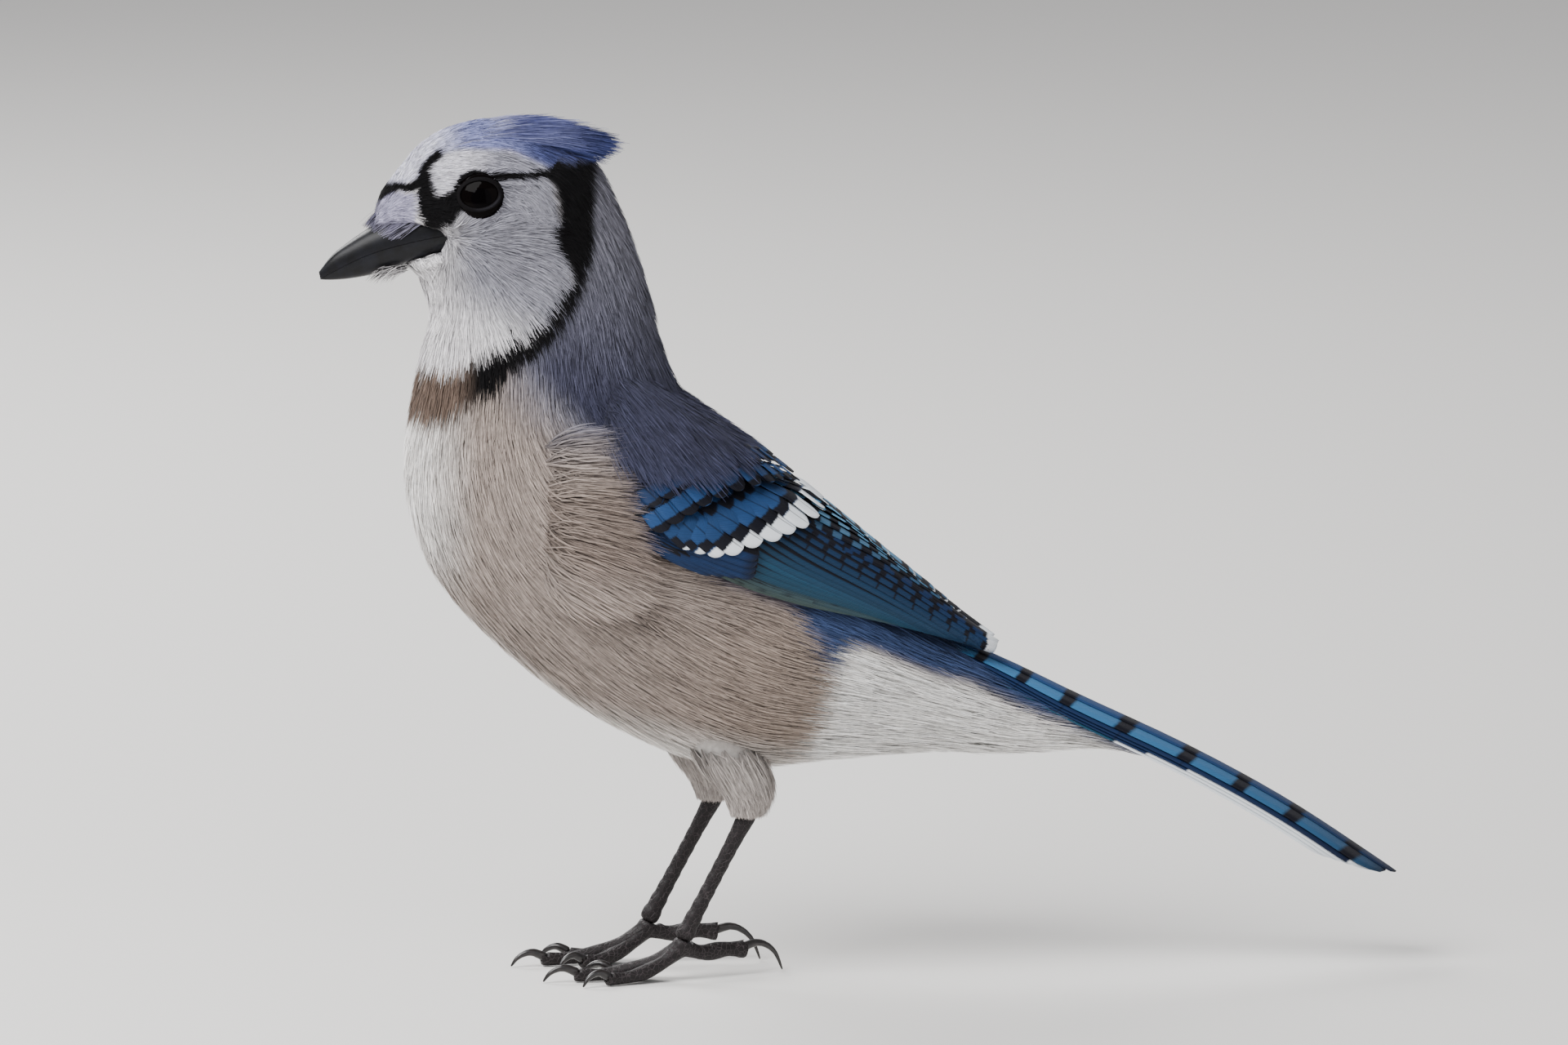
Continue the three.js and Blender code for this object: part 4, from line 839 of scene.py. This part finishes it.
# One row of vanes as closed thin plates
def vaneGrid(surface, root, tip, width, lift, tilt, rows=22, columns=7, blunt=0.55, thickness=0.12):
    t = 1 - (1 - np.linspace(0, 1, rows)) ** 1.5
    ends = sample(surface, np.array([root[0], tip[0]]), np.array([root[1], tip[1]]))[0]
    length = max(4.0, float(np.linalg.norm(ends[1] - ends[0])))
    start = 1 - min(0.5, blunt * width / length)
    rounded = np.clip((t - start) / (1 - start), 0, 1)
    half = 0.5 * width * np.interp(t, [0, 0.3, 1], [0.62, 1, 1]) * np.sqrt(np.maximum(1 - rounded**2, 0.004))
    c = np.linspace(-1, 1, columns)
    u = root[0] + (tip[0] - root[0]) * t
    v = root[1] + (tip[1] - root[1]) * t
    shaft, n, pu, pv = sample(surface, u, v)
    flow = unit(np.gradient(shaft, t, axis=0))
    side = unit(np.cross(n, flow))
    side *= np.sign(np.sum(side * pv, axis=-1, keepdims=True))
    out = half[:, None] * c[None, :]
    mark = 0.5 * width * c[None, :] + 0 * out
    du, dv = stepOn(pu[:, None], pv[:, None], side[:, None] * out[..., None])
    p, n, _, _ = sample(surface, u[:, None] + du, v[:, None] + dv)
    rise = lift[0] + (lift[1] - lift[0]) * np.minimum(1, t * 1.8)
    height = rise[:, None] + tilt * c[None, :] * half[:, None] / width - 0.22 * np.abs(c)[None, :] ** 2
    top = p + n * (height + thickness / 2)[..., None]
    low = p + n * (height - thickness / 2)[..., None]
    fromTip = length * (1 - t)[:, None] + 0 * out
    return top, low, mark, fromTip


def vanePiece(name, surface, feathers, mat):
    tops, lows, outs, tips, cols, facts = [], [], [], [], [], []
    for f in feathers:
        top, low, out, fromTip = vaneGrid(surface, f["root"], f["tip"], f["width"], f["lift"], f["tilt"])
        tops.append(top)
        lows.append(low)
        outs.append(out)
        tips.append(fromTip)
        share = np.clip(fromTip / max(fromTip.max(), 1), 0, 1)[..., None] ** f["fade"]
        cols.append(f["inkTip"] * (1 - share) + f["inkRoot"] * share)
        facts.append(f["facts"])
    tops, lows, outs, tips, cols = (np.array(a) for a in (tops, lows, outs, tips, cols))
    n, rows, columns = outs.shape
    # one ring of columns goes over the top and back under, so that the plate is closed along its length
    loop = np.concatenate([tops, lows[:, :, ::-1]], axis=2)
    across = np.concatenate([outs, outs[:, :, ::-1]], axis=2)
    fromTip = np.concatenate([tips, tips], axis=2)
    colour = np.concatenate([cols, cols[:, :, ::-1]], axis=2)
    around = columns * 2
    base = np.arange(n)[:, None, None] * rows * around
    i, j = np.arange(rows - 1)[None, :, None] * around, np.arange(around)[None, None, :]
    k = (np.arange(around) + 1)[None, None, :] % around
    quads = np.stack([(base + i + j), (base + i + k), (base + i + around + k), (base + i + around + j)],
                     axis=-1).reshape(-1, 4)
    j = np.arange(columns - 1)[None, None, :]
    for row, flip in ((0, True), (rows - 1, False)):
        a = base + row * around
        cap = np.stack([a + j, a + j + 1, a + around - 2 - j, a + around - 1 - j], axis=-1).reshape(-1, 4)
        quads = np.concatenate([quads, cap[:, ::-1] if flip else cap])
    # turn the faces outwards
    q = loop.reshape(-1, 3)[quads[0]]
    facing = np.cross(q[1] - q[0], q[3] - q[0])
    if np.dot(facing, tops[0, 0, 0] - lows[0, 0, 0]) < 0:
        quads = quads[:, ::-1]
    cells = int(math.ceil(math.sqrt(n)))
    cx, cy = np.arange(n) % cells, np.arange(n) // cells
    shareX = 0.5 + 0.5 * across / np.abs(across).max(axis=(1, 2), keepdims=True)
    shareY = fromTip / fromTip.max(axis=(1, 2), keepdims=True)
    bake = np.stack([(cx[:, None, None] + 0.06 + 0.88 * shareX) / cells,
                     (cy[:, None, None] + 0.03 + 0.94 * shareY) / cells], axis=-1)
    along = fromTip + np.array([f["shift"] for f in feathers])[:, None, None]
    vane = np.stack([across / 10, along / 100], axis=-1)
    shape = np.ones_like(across)
    extra = {key: shape * np.array([f[key] for f in facts])[:, None, None] for key in facts[0]}
    return meshObject(name, loop, quads, mat, colour, {"OFBake": bake, "Vane": vane}, extra, smoothFaces=True)


def alongRow(points, s):
    return tuple(np.interp(s, np.linspace(0, 1, len(points)), part) for part in zip(*points))


def wingFeathers(side):
    made = []
    for row in wingRows:
        for i in range(row["count"]):
            s = i / (row["count"] - 1)
            root, tip = alongRow(row["roots"], s), alongRow(row["tips"], s)
            fade = 1 - 0.45 * tip[0]
            (spacing, thick), white = row["bars"], np.interp(s, [0, 1], row["white"])
            thick *= np.interp(s, [0, 1], row["share"]) * rng.uniform(0.8, 1.2)
            # the pattern's own start, so that half a spacing later comes the first bar
            shift = spacing / 2 - white - row["nearest"] - rng.uniform(0, row.get("uneven", 0.5))
            a, b = (blues[k] for k in row["ink"])
            ink = (a * (1 - s) + b * s) * rng.uniform(0.82, 1.12)
            width = row["width"] * rng.uniform(0.92, 1.08)
            made.append({
                "root": root, "tip": tip, "width": width, "tilt": 1.1, "inkTip": ink, "inkRoot": ink * 0.75,
                "fade": 1.0, "shift": shift,
                "lift": (-0.3 * row["lift"] * (1 - 0.45 * root[0]), (row["lift"] + row["step"] * i) * fade),
                "facts": {"barLength": spacing, "barShare": thick / 2 / spacing,
                          "whiteTip": white + shift if white > 0.2 else -99,
                          "darkBelow": (row["dark"] - 0.5) * width if row["dark"] >= 0 else -99}})
    return made


wingPieces = [vanePiece(f"wing_{'right' if side > 0 else 'left'}_vanes", wings[side], wingFeathers(side),
                        wingMaterial)
              for side in (-1, 1)]
print("wings:", len(wingPieces[0].data.polygons), "faces each")

# Tail feathers by pairs from the middle of the tail outwards: how far the shaft lies to the side, the width, and
# how much of the end is white. The bars of all the feathers lie at the same distances from the tail's end.
tail = {"aside": [0.5, 3.6, 5.2, 6.0, 6.8, 7.6], "width": [8.4, 13.4, 13.4, 13.0, 12.6, 12.2], "drop": 0.5,
        "white": [0, 0, 4, 40, 46, 50], "ink": ["blue", "bright", "deep", "deep", "deep", "teal"], "shorter": 2.3,
        "length": 121.0, "rootAt": 0.06, "bars": (13.1, 3.3), "firstBar": 9.4}


def tailFeathers():
    made = []
    reach = tailShape["reach"]
    spacing, thick = tail["bars"]
    for pair in reversed(range(len(tail["aside"]))):
        for side in (-1, 1):
            y = side * tail["aside"][pair]
            end = 1 - tail["shorter"] * pair / tail["length"]
            down = -tail["drop"] * (pair + (0.5 if side > 0 else 0))
            ink = blues[tail["ink"][pair]]
            shift = 1.5 * spacing - tail["firstBar"] + tail["shorter"] * pair
            made.append({
                "root": (tail["rootAt"], 0.5 + 0.5 * y / reach / 2), "tip": (end, 0.5 + y / reach / 2),
                "width": tail["width"][pair], "lift": (down, down), "tilt": 0.3, "inkTip": blues["night"],
                "inkRoot": ink * 1.15, "fade": 0.42, "shift": shift,
                "facts": {"barLength": spacing, "barShare": thick / 2 / spacing * (pair < 2),
                          "whiteTip": shift + tail["white"][pair] if tail["white"][pair] else -99, "darkBelow": -99}})
    return made


tailPiece = vanePiece("tail_vanes", tailSurface(), tailFeathers(), wingMaterial)
print("tail:", len(tailPiece.data.polygons), "faces")


# Flat strands bent through three points, for the bristles and the crest
def strandPiece(name, starts, bends, ends, widths, colours):
    t = np.linspace(0, 1, 6)
    w0, w1, w2 = ((1 - t) ** 2)[None, :, None], (2 * t * (1 - t))[None, :, None], (t**2)[None, :, None]
    line = starts[:, None] * w0 + bends[:, None] * w1 + ends[:, None] * w2
    along = unit(np.gradient(line, axis=1))
    wide = unit(np.cross(along, rng.normal(0, 0.3, (len(starts), 1, 3)) + np.array([0, 1.0, 0.6])))
    thin = (widths[:, None] * (1 - 0.85 * t**1.5))[..., None]
    points = np.stack([line - wide * thin / 2, line + wide * thin / 2], axis=2)
    tone = (0.75 + 0.4 * t)[None, :, None, None]
    cols = np.clip(colours[:, None, None] * tone, 0, 1) * np.ones((1, 1, 2, 1))
    n = len(starts)
    low, high = starts.min(axis=0), starts.max(axis=0)
    place = 0.02 + 0.95 * ((starts - low) / np.maximum(high - low, 1))[:, [1, 0]]
    patch = np.stack([np.array([0, 0.003])[None, None, :] + 0 * points[..., 0],
                      0.003 * t[None, :, None] + 0 * points[..., 0]], axis=-1)
    return meshObject(name, points, gridFaces(n, 6, 2), coatMaterial, cols, {"OFBake": place[:, None, None] + patch})


bristles = {"nasal": 1300, "chin": 320, "pale": 0.6, "dark": 0.3}  # how many, and the share of each tone


def buildBristles():
    count = bristles["nasal"]
    side = rng.choice([-1.0, 1.0], count)
    h = rng.random(count)
    start = np.stack([-97.5 - 3.5 * h + rng.normal(0, 0.5, count), side * (7.2 - 6.4 * h), 168.4 + 5.9 * h], axis=-1)
    end = np.stack([-102.6 - 5.0 * h + rng.normal(0, 1.1, count), side * (5.7 - 5.1 * h),
                    164.9 + 2.4 * h + rng.normal(0, 0.25, count)], axis=-1)
    bend = (start + end) / 2 + np.stack([0 * h, side * (0.9 - 0.9 * h), 0.4 + 0.8 * h], axis=-1)
    pale = rng.random(count)[:, None] < bristles["pale"]
    colour = np.where(pale, inks["bristle"] * rng.uniform(0.7, 1.1, (count, 1)), inks["lore"] + 0.02)
    nasal = strandPiece("nasal_bristles", start, bend, end, rng.uniform(0.14, 0.3, count), colour)
    count = bristles["chin"]
    side = rng.uniform(-1, 1, count)
    start = np.stack([-99.5 - 4.5 * rng.random(count), side * 5.5, 157.2 + 1.6 * rng.random(count)], axis=-1)
    end = start + np.stack([-2.6 - 2.4 * rng.random(count), side * 0.6, -1.2 - 2.2 * rng.random(count)], axis=-1)
    bend = (start + end) / 2 + np.array([-0.8, 0, 0.5])
    dark = rng.random(count)[:, None] < bristles["dark"]
    colour = np.where(dark, inks["lore"] + 0.03, inks["throat"] * rng.uniform(0.8, 1.1, (count, 1)))
    chin = strandPiece("chin_bristles", start, bend, end, rng.uniform(0.12, 0.24, count), colour)
    return [nasal, chin]


bristlePieces = buildBristles()
print("bristles:", len(bristlePieces), "pieces")

# The crest's middle feathers in the side view, from the forehead to the nape, as in the solids
crest = {
    "root": [(-97.0, 183.4), (-92.0, 186.4), (-84.5, 188.8), (-76.5, 188.8), (-70.0, 187.2), (-66.0, 184.6)],
    "tip": [(-84.5, 189.6), (-75.5, 190.9), (-66.0, 190.3), (-58.0, 187.8), (-52.6, 185.1), (-54.0, 182.4)],
    "reach": [4.2, 5.6, 6.8, 7.0, 6.4, 5.6],  # how far the row reaches to each side
    "rows": 22, "across": 17, "strands": 12, "width": 2.3, "bow": 0.9, "fall": 0.045, "uneven": 0.07,
}


def buildCrest():
    rows, across, strands = crest["rows"], crest["across"], crest["strands"]
    at = np.linspace(0, 1, rows)
    stations = np.linspace(0, 1, len(crest["reach"]))
    root, tip = (curveAt([(x, 0, z) for x, z in crest[k]], at) for k in ("root", "tip"))
    shape = (rows, across, strands)
    a = np.linspace(-1, 1, across)[None, :, None] + rng.uniform(-0.06, 0.06, (rows, across, 1))
    spread = np.linspace(-1, 1, strands)[None, None, :] + rng.normal(0, 0.12, shape)
    reach = (1 - 0.16 * np.abs(a)) * (1 - 0.18 * spread**2) * (1 + rng.normal(0, crest["uneven"], shape))
    side = a * np.interp(at, stations, crest["reach"])[:, None, None]
    root, tip = root[:, None, None], tip[:, None, None]
    up = unit(np.cross([0, 1, 0], root - tip))
    y0, y1 = side + 0.25 * spread, side * 1.08 + 0.5 * crest["width"] * spread
    start = root - up * (crest["fall"] * y0**2 + 0.3)[..., None]
    start[..., 1] += y0
    sunk = crest["fall"] * y1**2 + rng.uniform(-0.4, 0.5, shape)
    end = root + (tip - root) * reach[..., None] - up * sunk[..., None]
    end[..., 1] += y1
    bend = (start + end) / 2 + up * (crest["bow"] * (1 + 0.5 * rng.random(shape)))[..., None]
    start, bend, end = (q.reshape(-1, 3) for q in (start, bend, end))
    base = plumageColour(np.broadcast_to(start, start.shape) + np.array([0, 0, 1.0]))
    deep = np.broadcast_to(smooth(0.35, 1.0, at)[:, None, None], shape).reshape(-1, 1)
    base = base * (1 - 0.55 * deep) + inks["crownDark"] * 0.55 * deep
    base = base * np.clip(1 + rng.normal(0, 0.22, (len(base), 1)), 0.4, 1.6)
    return strandPiece("crest_feathers", start, bend, end, rng.uniform(0.2, 0.34, len(start)), base)


crestPiece = buildCrest()
print("crest:", len(crestPiece.data.polygons), "faces")


# Bill and claws are dark horn, a little glossy, with a fine grain
def hornMaterial(name, hexDark, hexLight, roughness, scale, specular, coatWeight):
    made, tree, bsdf = material(name, roughness)
    bsdf.inputs["Specular IOR Level"].default_value = specular
    bsdf.inputs["Coat Weight"].default_value = coatWeight
    bsdf.inputs["Coat Roughness"].default_value = 0.25
    place = node(tree, "ShaderNodeTexCoord", (-1100, 0))
    grain = node(tree, "ShaderNodeTexNoise", (-900, 0), {"Vector": place.outputs["Object"], "Scale": scale,
                                                         "Detail": 4.0})
    ramp = node(tree, "ShaderNodeMapRange", (-700, 0), {"Value": grain.outputs["Fac"], "From Min": 0.35,
                                                        "From Max": 0.7})
    mixed = node(tree, "ShaderNodeMix", (-400, 100), {0: ramp.outputs["Result"], 6: (*linear(hexDark), 1),
                                                    7: (*linear(hexLight), 1)}, data_type="RGBA")
    tree.links.new(mixed.outputs[2], bsdf.inputs["Base Color"])
    bump = node(tree, "ShaderNodeBump", (-400, -250), {"Height": grain.outputs["Fac"], "Strength": 0.2,
                                                       "Distance": 0.0001})
    tree.links.new(bump.outputs["Normal"], bsdf.inputs["Normal"])
    return made


# the grain is 2.4 mm on the bill and 1.1 mm on the claws
billMaterial = hornMaterial("Dark bill horn", "#09090b", "#121319", 0.38, 420.0, 0.2, 0.03)
clawMaterial = hornMaterial("Dark claw horn", "#0f0d0e", "#231d1d", 0.3, 900.0, 0.4, 0.3)


# Dry skin in small plates of about 1 mm, lighter along their edges
def scaleMaterial():
    made, tree, bsdf = material("Scaled leg skin", 0.5)
    bsdf.inputs["Specular IOR Level"].default_value = 0.25
    place = node(tree, "ShaderNodeTexCoord", (-1100, 0))
    plates = node(tree, "ShaderNodeTexVoronoi", (-900, 0), {"Vector": place.outputs["Object"], "Scale": 950.0},
                  feature="DISTANCE_TO_EDGE")
    ridge = node(tree, "ShaderNodeMapRange", (-700, 0), {"Value": plates.outputs["Distance"], "From Min": 0.0,
                                                         "From Max": 0.07})
    mixed = node(tree, "ShaderNodeMix", (-400, 100), {0: ridge.outputs["Result"], 6: (*linear("#3f383a"), 1),
                                                    7: (*linear("#171314"), 1)}, data_type="RGBA")
    tree.links.new(mixed.outputs[2], bsdf.inputs["Base Color"])
    bump = node(tree, "ShaderNodeBump", (-400, -250), {"Height": ridge.outputs["Result"], "Strength": 0.6,
                                                       "Distance": 0.0002})
    tree.links.new(bump.outputs["Normal"], bsdf.inputs["Normal"])
    return made


legMaterial = scaleMaterial()


# A dark wet eye: nearly black, with only a faint reflection
def eyeMaterial():
    made, tree, bsdf = material("Dark eye", 0.05)
    bsdf.inputs["Specular IOR Level"].default_value = 0.03
    place = node(tree, "ShaderNodeTexCoord", (-1300, 0))
    low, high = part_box("eye_left")
    centre = (low + high) / 2
    flat = node(tree, "ShaderNodeVectorMath", (-1100, 0), {0: place.outputs["Object"], 1: (centre.x, 0, centre.z)},
                operation="SUBTRACT")
    side = node(tree, "ShaderNodeVectorMath", (-900, 0), {0: flat.outputs["Vector"], 1: (1, 0, 1)},
                operation="MULTIPLY")
    far = node(tree, "ShaderNodeVectorMath", (-700, 0), {0: side.outputs["Vector"]}, operation="LENGTH")
    iris = node(tree, "ShaderNodeMapRange", (-500, 0), {"Value": far.outputs["Value"], "From Min": 0.0021,
                                                        "From Max": 0.0024})
    mixed = node(tree, "ShaderNodeMix", (-300, 100), {0: iris.outputs["Result"], 6: (*linear("#030203"), 1),
                                                    7: (*linear("#060404"), 1)}, data_type="RGBA")
    tree.links.new(mixed.outputs[2], bsdf.inputs["Base Color"])
    return made


glassEye = eyeMaterial()


# Each half of the bill is widest at the line of closing, where the two halves meet
billShape = {"rings": 72, "sides": 28, "gap": 0.09, "fullness": 0.86}


def buildBill(name, edge, sign):
    rings, sides = billShape["rings"], billShape["sides"]
    at = np.linspace(0, 1, rings) ** 0.85
    outer = curveAt([(x, h, z) for (x, z), h in zip(bill[edge], bill["half"])], at)
    mouth = curveAt([(x, h, z) for (x, z), h in zip(bill["mouth"], bill["half"])], at)
    half = outer[:, 1].copy()
    outer[:, 1] = mouth[:, 1] = 0
    mouth[:, 2] += sign * billShape["gap"] / 2
    turn = np.linspace(-math.pi / 2, math.pi / 2, sides)
    rise, out = np.cos(turn) ** billShape["fullness"], np.sign(np.sin(turn)) * np.abs(np.sin(turn)) ** 0.8
    points = mouth[:, None] + (outer - mouth)[:, None] * rise[None, :, None]
    points[..., 1] += half[:, None] * out
    # the flat side runs back under the arch, a little sunk
    inner = points[:, ::-1] * 1.0
    inner[..., 2] = mouth[:, None, 2] + sign * 0.12 * rise[None, ::-1]
    inner[..., 0] = mouth[:, None, 0]
    loop = np.concatenate([points, inner[:, 1:-1]], axis=1)
    around = loop.shape[1]
    base = np.arange(rings - 1)[:, None] * around
    j = np.arange(around)[None, :]
    k = (j + 1) % around
    quads = np.stack([base + j, base + k, base + around + k, base + around + j], axis=-1).reshape(-1, 4)
    ends = []
    for row in (0, rings - 1):
        a = row * around
        i = np.arange(sides - 1)
        fan = np.stack([a + i, a + i + 1, a + (around - i - 1) % around, a + (around - i) % around], axis=-1)
        ends.append(fan[:, ::-1] if row else fan)
    quads = np.concatenate([quads] + ends)
    q = loop.reshape(-1, 3)[quads[around * 30 + sides // 2]]
    if np.dot(np.cross(q[1] - q[0], q[3] - q[0]), [0, 0, sign]) < 0:
        quads = quads[:, ::-1]
    share = np.broadcast_to(np.arange(around) / around, loop.shape[:2])
    uv = np.stack([0.02 + 0.96 * share, 0.02 + 0.96 * np.broadcast_to(at[:, None], share.shape)], axis=-1)
    made = meshObject(name, loop, quads, billMaterial, None, {"OFBake": uv}, smoothFaces=True)
    made.data.set_sharp_from_angle(angle=math.radians(45))
    return made


billPieces = {"bill_upper": buildBill("upper_bill", "top", 1), "bill_lower": buildBill("lower_bill", "bottom", -1)}


# The horn, scales and eyes keep the solids' own meshes, rounded off
def finishNode(name, mat, levels):
    o = nodes[name]
    o.data.materials.clear()
    o.data.materials.append(mat)
    weld = o.modifiers.new("Weld", "WELD")
    weld.merge_threshold = 1e-6
    if levels:
        round_ = o.modifiers.new("Round", "SUBSURF")
        round_.levels = round_.render_levels = levels
    for poly in o.data.polygons:
        poly.use_smooth = True


for name in nodes:
    if name.startswith("claw"):
        finishNode(name, clawMaterial, 1)
    elif name.startswith(("tarsus", "foot")):
        finishNode(name, legMaterial, 1)
    elif name.startswith("eye"):
        finishNode(name, glassEye, 2)


# Lids: a rim of bare skin on each eyeball, from the opening out to under the feathers
lid = {"ballRadius": 5.4, "flatness": 0.56, "around": 72, "rim": "#0b090b", "rearRim": "#2a292e",
       # how far each ring of the rim lies outside the opening and above the eyeball
       "rings": [(-0.02, -0.25), (0.0, 0.1), (0.12, 0.3), (0.38, 0.32), (0.8, 0.0), (1.2, -0.5), (1.1, -1.2)]}


def buildLids():
    made = []
    for name, side in (("left", -1), ("right", 1)):
        mesh = nodes[f"eye_{name}"].data
        co = np.empty(len(mesh.vertices) * 3, np.float32)
        mesh.vertices.foreach_get("co", co)
        co = co.reshape(-1, 3) / mm - shift
        centre = (co.min(axis=0) + co.max(axis=0)) / 2
        facing = np.linalg.svd(co - co.mean(axis=0), full_matrices=False)[2][2]
        facing *= np.sign(facing[1] * side)
        ahead = unit(np.cross(facing, [0, 0, 1.0]))
        ahead *= -np.sign(ahead[0])
        up = unit(np.cross(ahead, facing))
        up *= np.sign(up[2])
        turn = np.linspace(0, 2 * math.pi, lid["around"] + 1)
        points, tones = [], []
        for out, height in lid["rings"]:
            a = (eye["long"] + out) * np.cos(turn)
            b = (eye["high"] + out) * np.sin(turn) - 0.25 * np.cos(turn) + eye["raised"]
            far = np.minimum(np.hypot(a, b) / lid["ballRadius"], 0.995)
            deep = lid["flatness"] * lid["ballRadius"] * np.sqrt(1 - far**2) + height
            points.append(centre + ahead * a[:, None] + up * b[:, None] + facing * deep[:, None])
            rear = smooth(0.5, -0.6, np.cos(turn)) * smooth(0.35, -0.5, np.sin(turn)) * (0.15 <= out <= 0.5)
            rear = rear[:, None]
            tones.append(np.array(linear(lid["rim"])) * (1 - rear) + np.array(linear(lid["rearRim"])) * rear)
        points, tones = np.array(points).transpose(1, 0, 2), np.array(tones).transpose(1, 0, 2)
        rows, columns = points.shape[:2]
        uv = np.stack(np.meshgrid(np.linspace(0.05, 0.95, rows), np.linspace(0.05, 0.95, columns), indexing="ij"),
                      axis=-1)
        q = points[0, 2:4], points[1, 2]
        flip = np.dot(np.cross(q[0][1] - q[0][0], q[1] - q[0][0]), facing) < 0
        made.append(meshObject(f"lids_{name}", points, gridFaces(1, rows, columns, flip), skinMaterial, tones,
                               {"OFBake": uv}, smoothFaces=True))
    return made


lidPieces = buildLids()
print("bill, eyes, lids and feet are done")

# Which solids the pieces stand for
fleshNodes = ["head", "neck", "torso", "tail_base", "thigh_left", "thigh_right", "crest"]
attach(skin, "root")
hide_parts(*fleshNodes)
for piece in coatPieces + mantlePieces + breastPieces + thighPieces + bristlePieces + lidPieces:
    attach(piece, "root")
for name, piece in billPieces.items():
    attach(piece, "root")
    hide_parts(name)
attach(crestPiece, "root")
for side, piece in zip(("left", "right"), wingPieces):
    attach(piece, "root")
    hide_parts(f"wing_{side}")
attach(tailPiece, "root")
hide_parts("tail")
meshes = [o.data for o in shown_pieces() if o.data.polygons]
total = sum(len(m.polygons) * (2 if len(m.polygons[0].vertices) == 4 else 1) for m in meshes)
print("triangles of the pieces before modifiers:", total)

# Pale floor and soft studio light
studio = {"floor": "#e4e2df", "world": "#e6e6ea", "worldStrength": 0.42, "key": 32.0, "fill": 6.5, "rim": 15.0}


def buildStudio():
    bpy.ops.mesh.primitive_plane_add(size=8.0, location=(0, 0, 0))
    floor = bpy.context.object
    floor.name = "floor"
    mat, tree, bsdf = material("Pale studio floor", 0.85)
    bsdf.inputs["Base Color"].default_value = (*linear(studio["floor"]), 1)
    floor.data.materials.append(mat)
    world = bpy.data.worlds.new("Soft studio")
    world.use_nodes = True
    world.node_tree.nodes["Background"].inputs["Color"].default_value = (*linear(studio["world"]), 1)
    world.node_tree.nodes["Background"].inputs["Strength"].default_value = studio["worldStrength"]
    bpy.context.scene.world = world
    for name, energy, size, at in (("Key", studio["key"], 0.9, (-0.75, -0.55, 1.05)),
                                   ("Fill", studio["fill"], 1.4, (0.6, -1.3, 0.5)),
                                   ("Rim", studio["rim"], 0.7, (-0.5, 0.9, 0.8))):
        light = bpy.data.lights.new(name, "AREA")
        light.energy = energy
        light.size = size
        lamp = bpy.data.objects.new(name, light)
        lamp.location = at
        lamp.rotation_euler = (Vector((-0.03, 0, 0.1)) - Vector(at)).to_track_quat("-Z", "Y").to_euler()
        bpy.context.scene.collection.objects.link(lamp)


# The camera stands a little in front of the bird's left side and looks slightly down on it.
# Its frame is 345.6 mm wide at the bird, and frameCentre is the middle of the frame from the tables' origin.
camera = {"turn": -6.0, "down": 9.0, "distance": 8.0, "frameWidth": 0.3456, "frameCentre": (-16.2, 98.1)}


def buildCamera():
    a, e = math.radians(camera["turn"]), math.radians(camera["down"])
    right = Vector((math.cos(a), math.sin(a), 0))
    ahead = Vector((-math.sin(a) * math.cos(e), math.cos(a) * math.cos(e), -math.sin(e)))
    up = right.cross(ahead)
    x, y = camera["frameCentre"]
    centre = (right * x + up * y + Vector(shift)) * mm
    data = bpy.data.cameras.new("Camera")
    data.sensor_width = 36.0
    data.lens = 36.0 * camera["distance"] / camera["frameWidth"]
    data.clip_start = 0.5
    data.clip_end = 30.0
    eyePoint = bpy.data.objects.new("Camera", data)
    eyePoint.matrix_world = Matrix.Translation(centre - ahead * camera["distance"]) @ Matrix(
        (right, up, -ahead)).transposed().to_4x4()
    bpy.context.scene.collection.objects.link(eyePoint)
    bpy.context.scene.camera = eyePoint


buildStudio()
buildCamera()
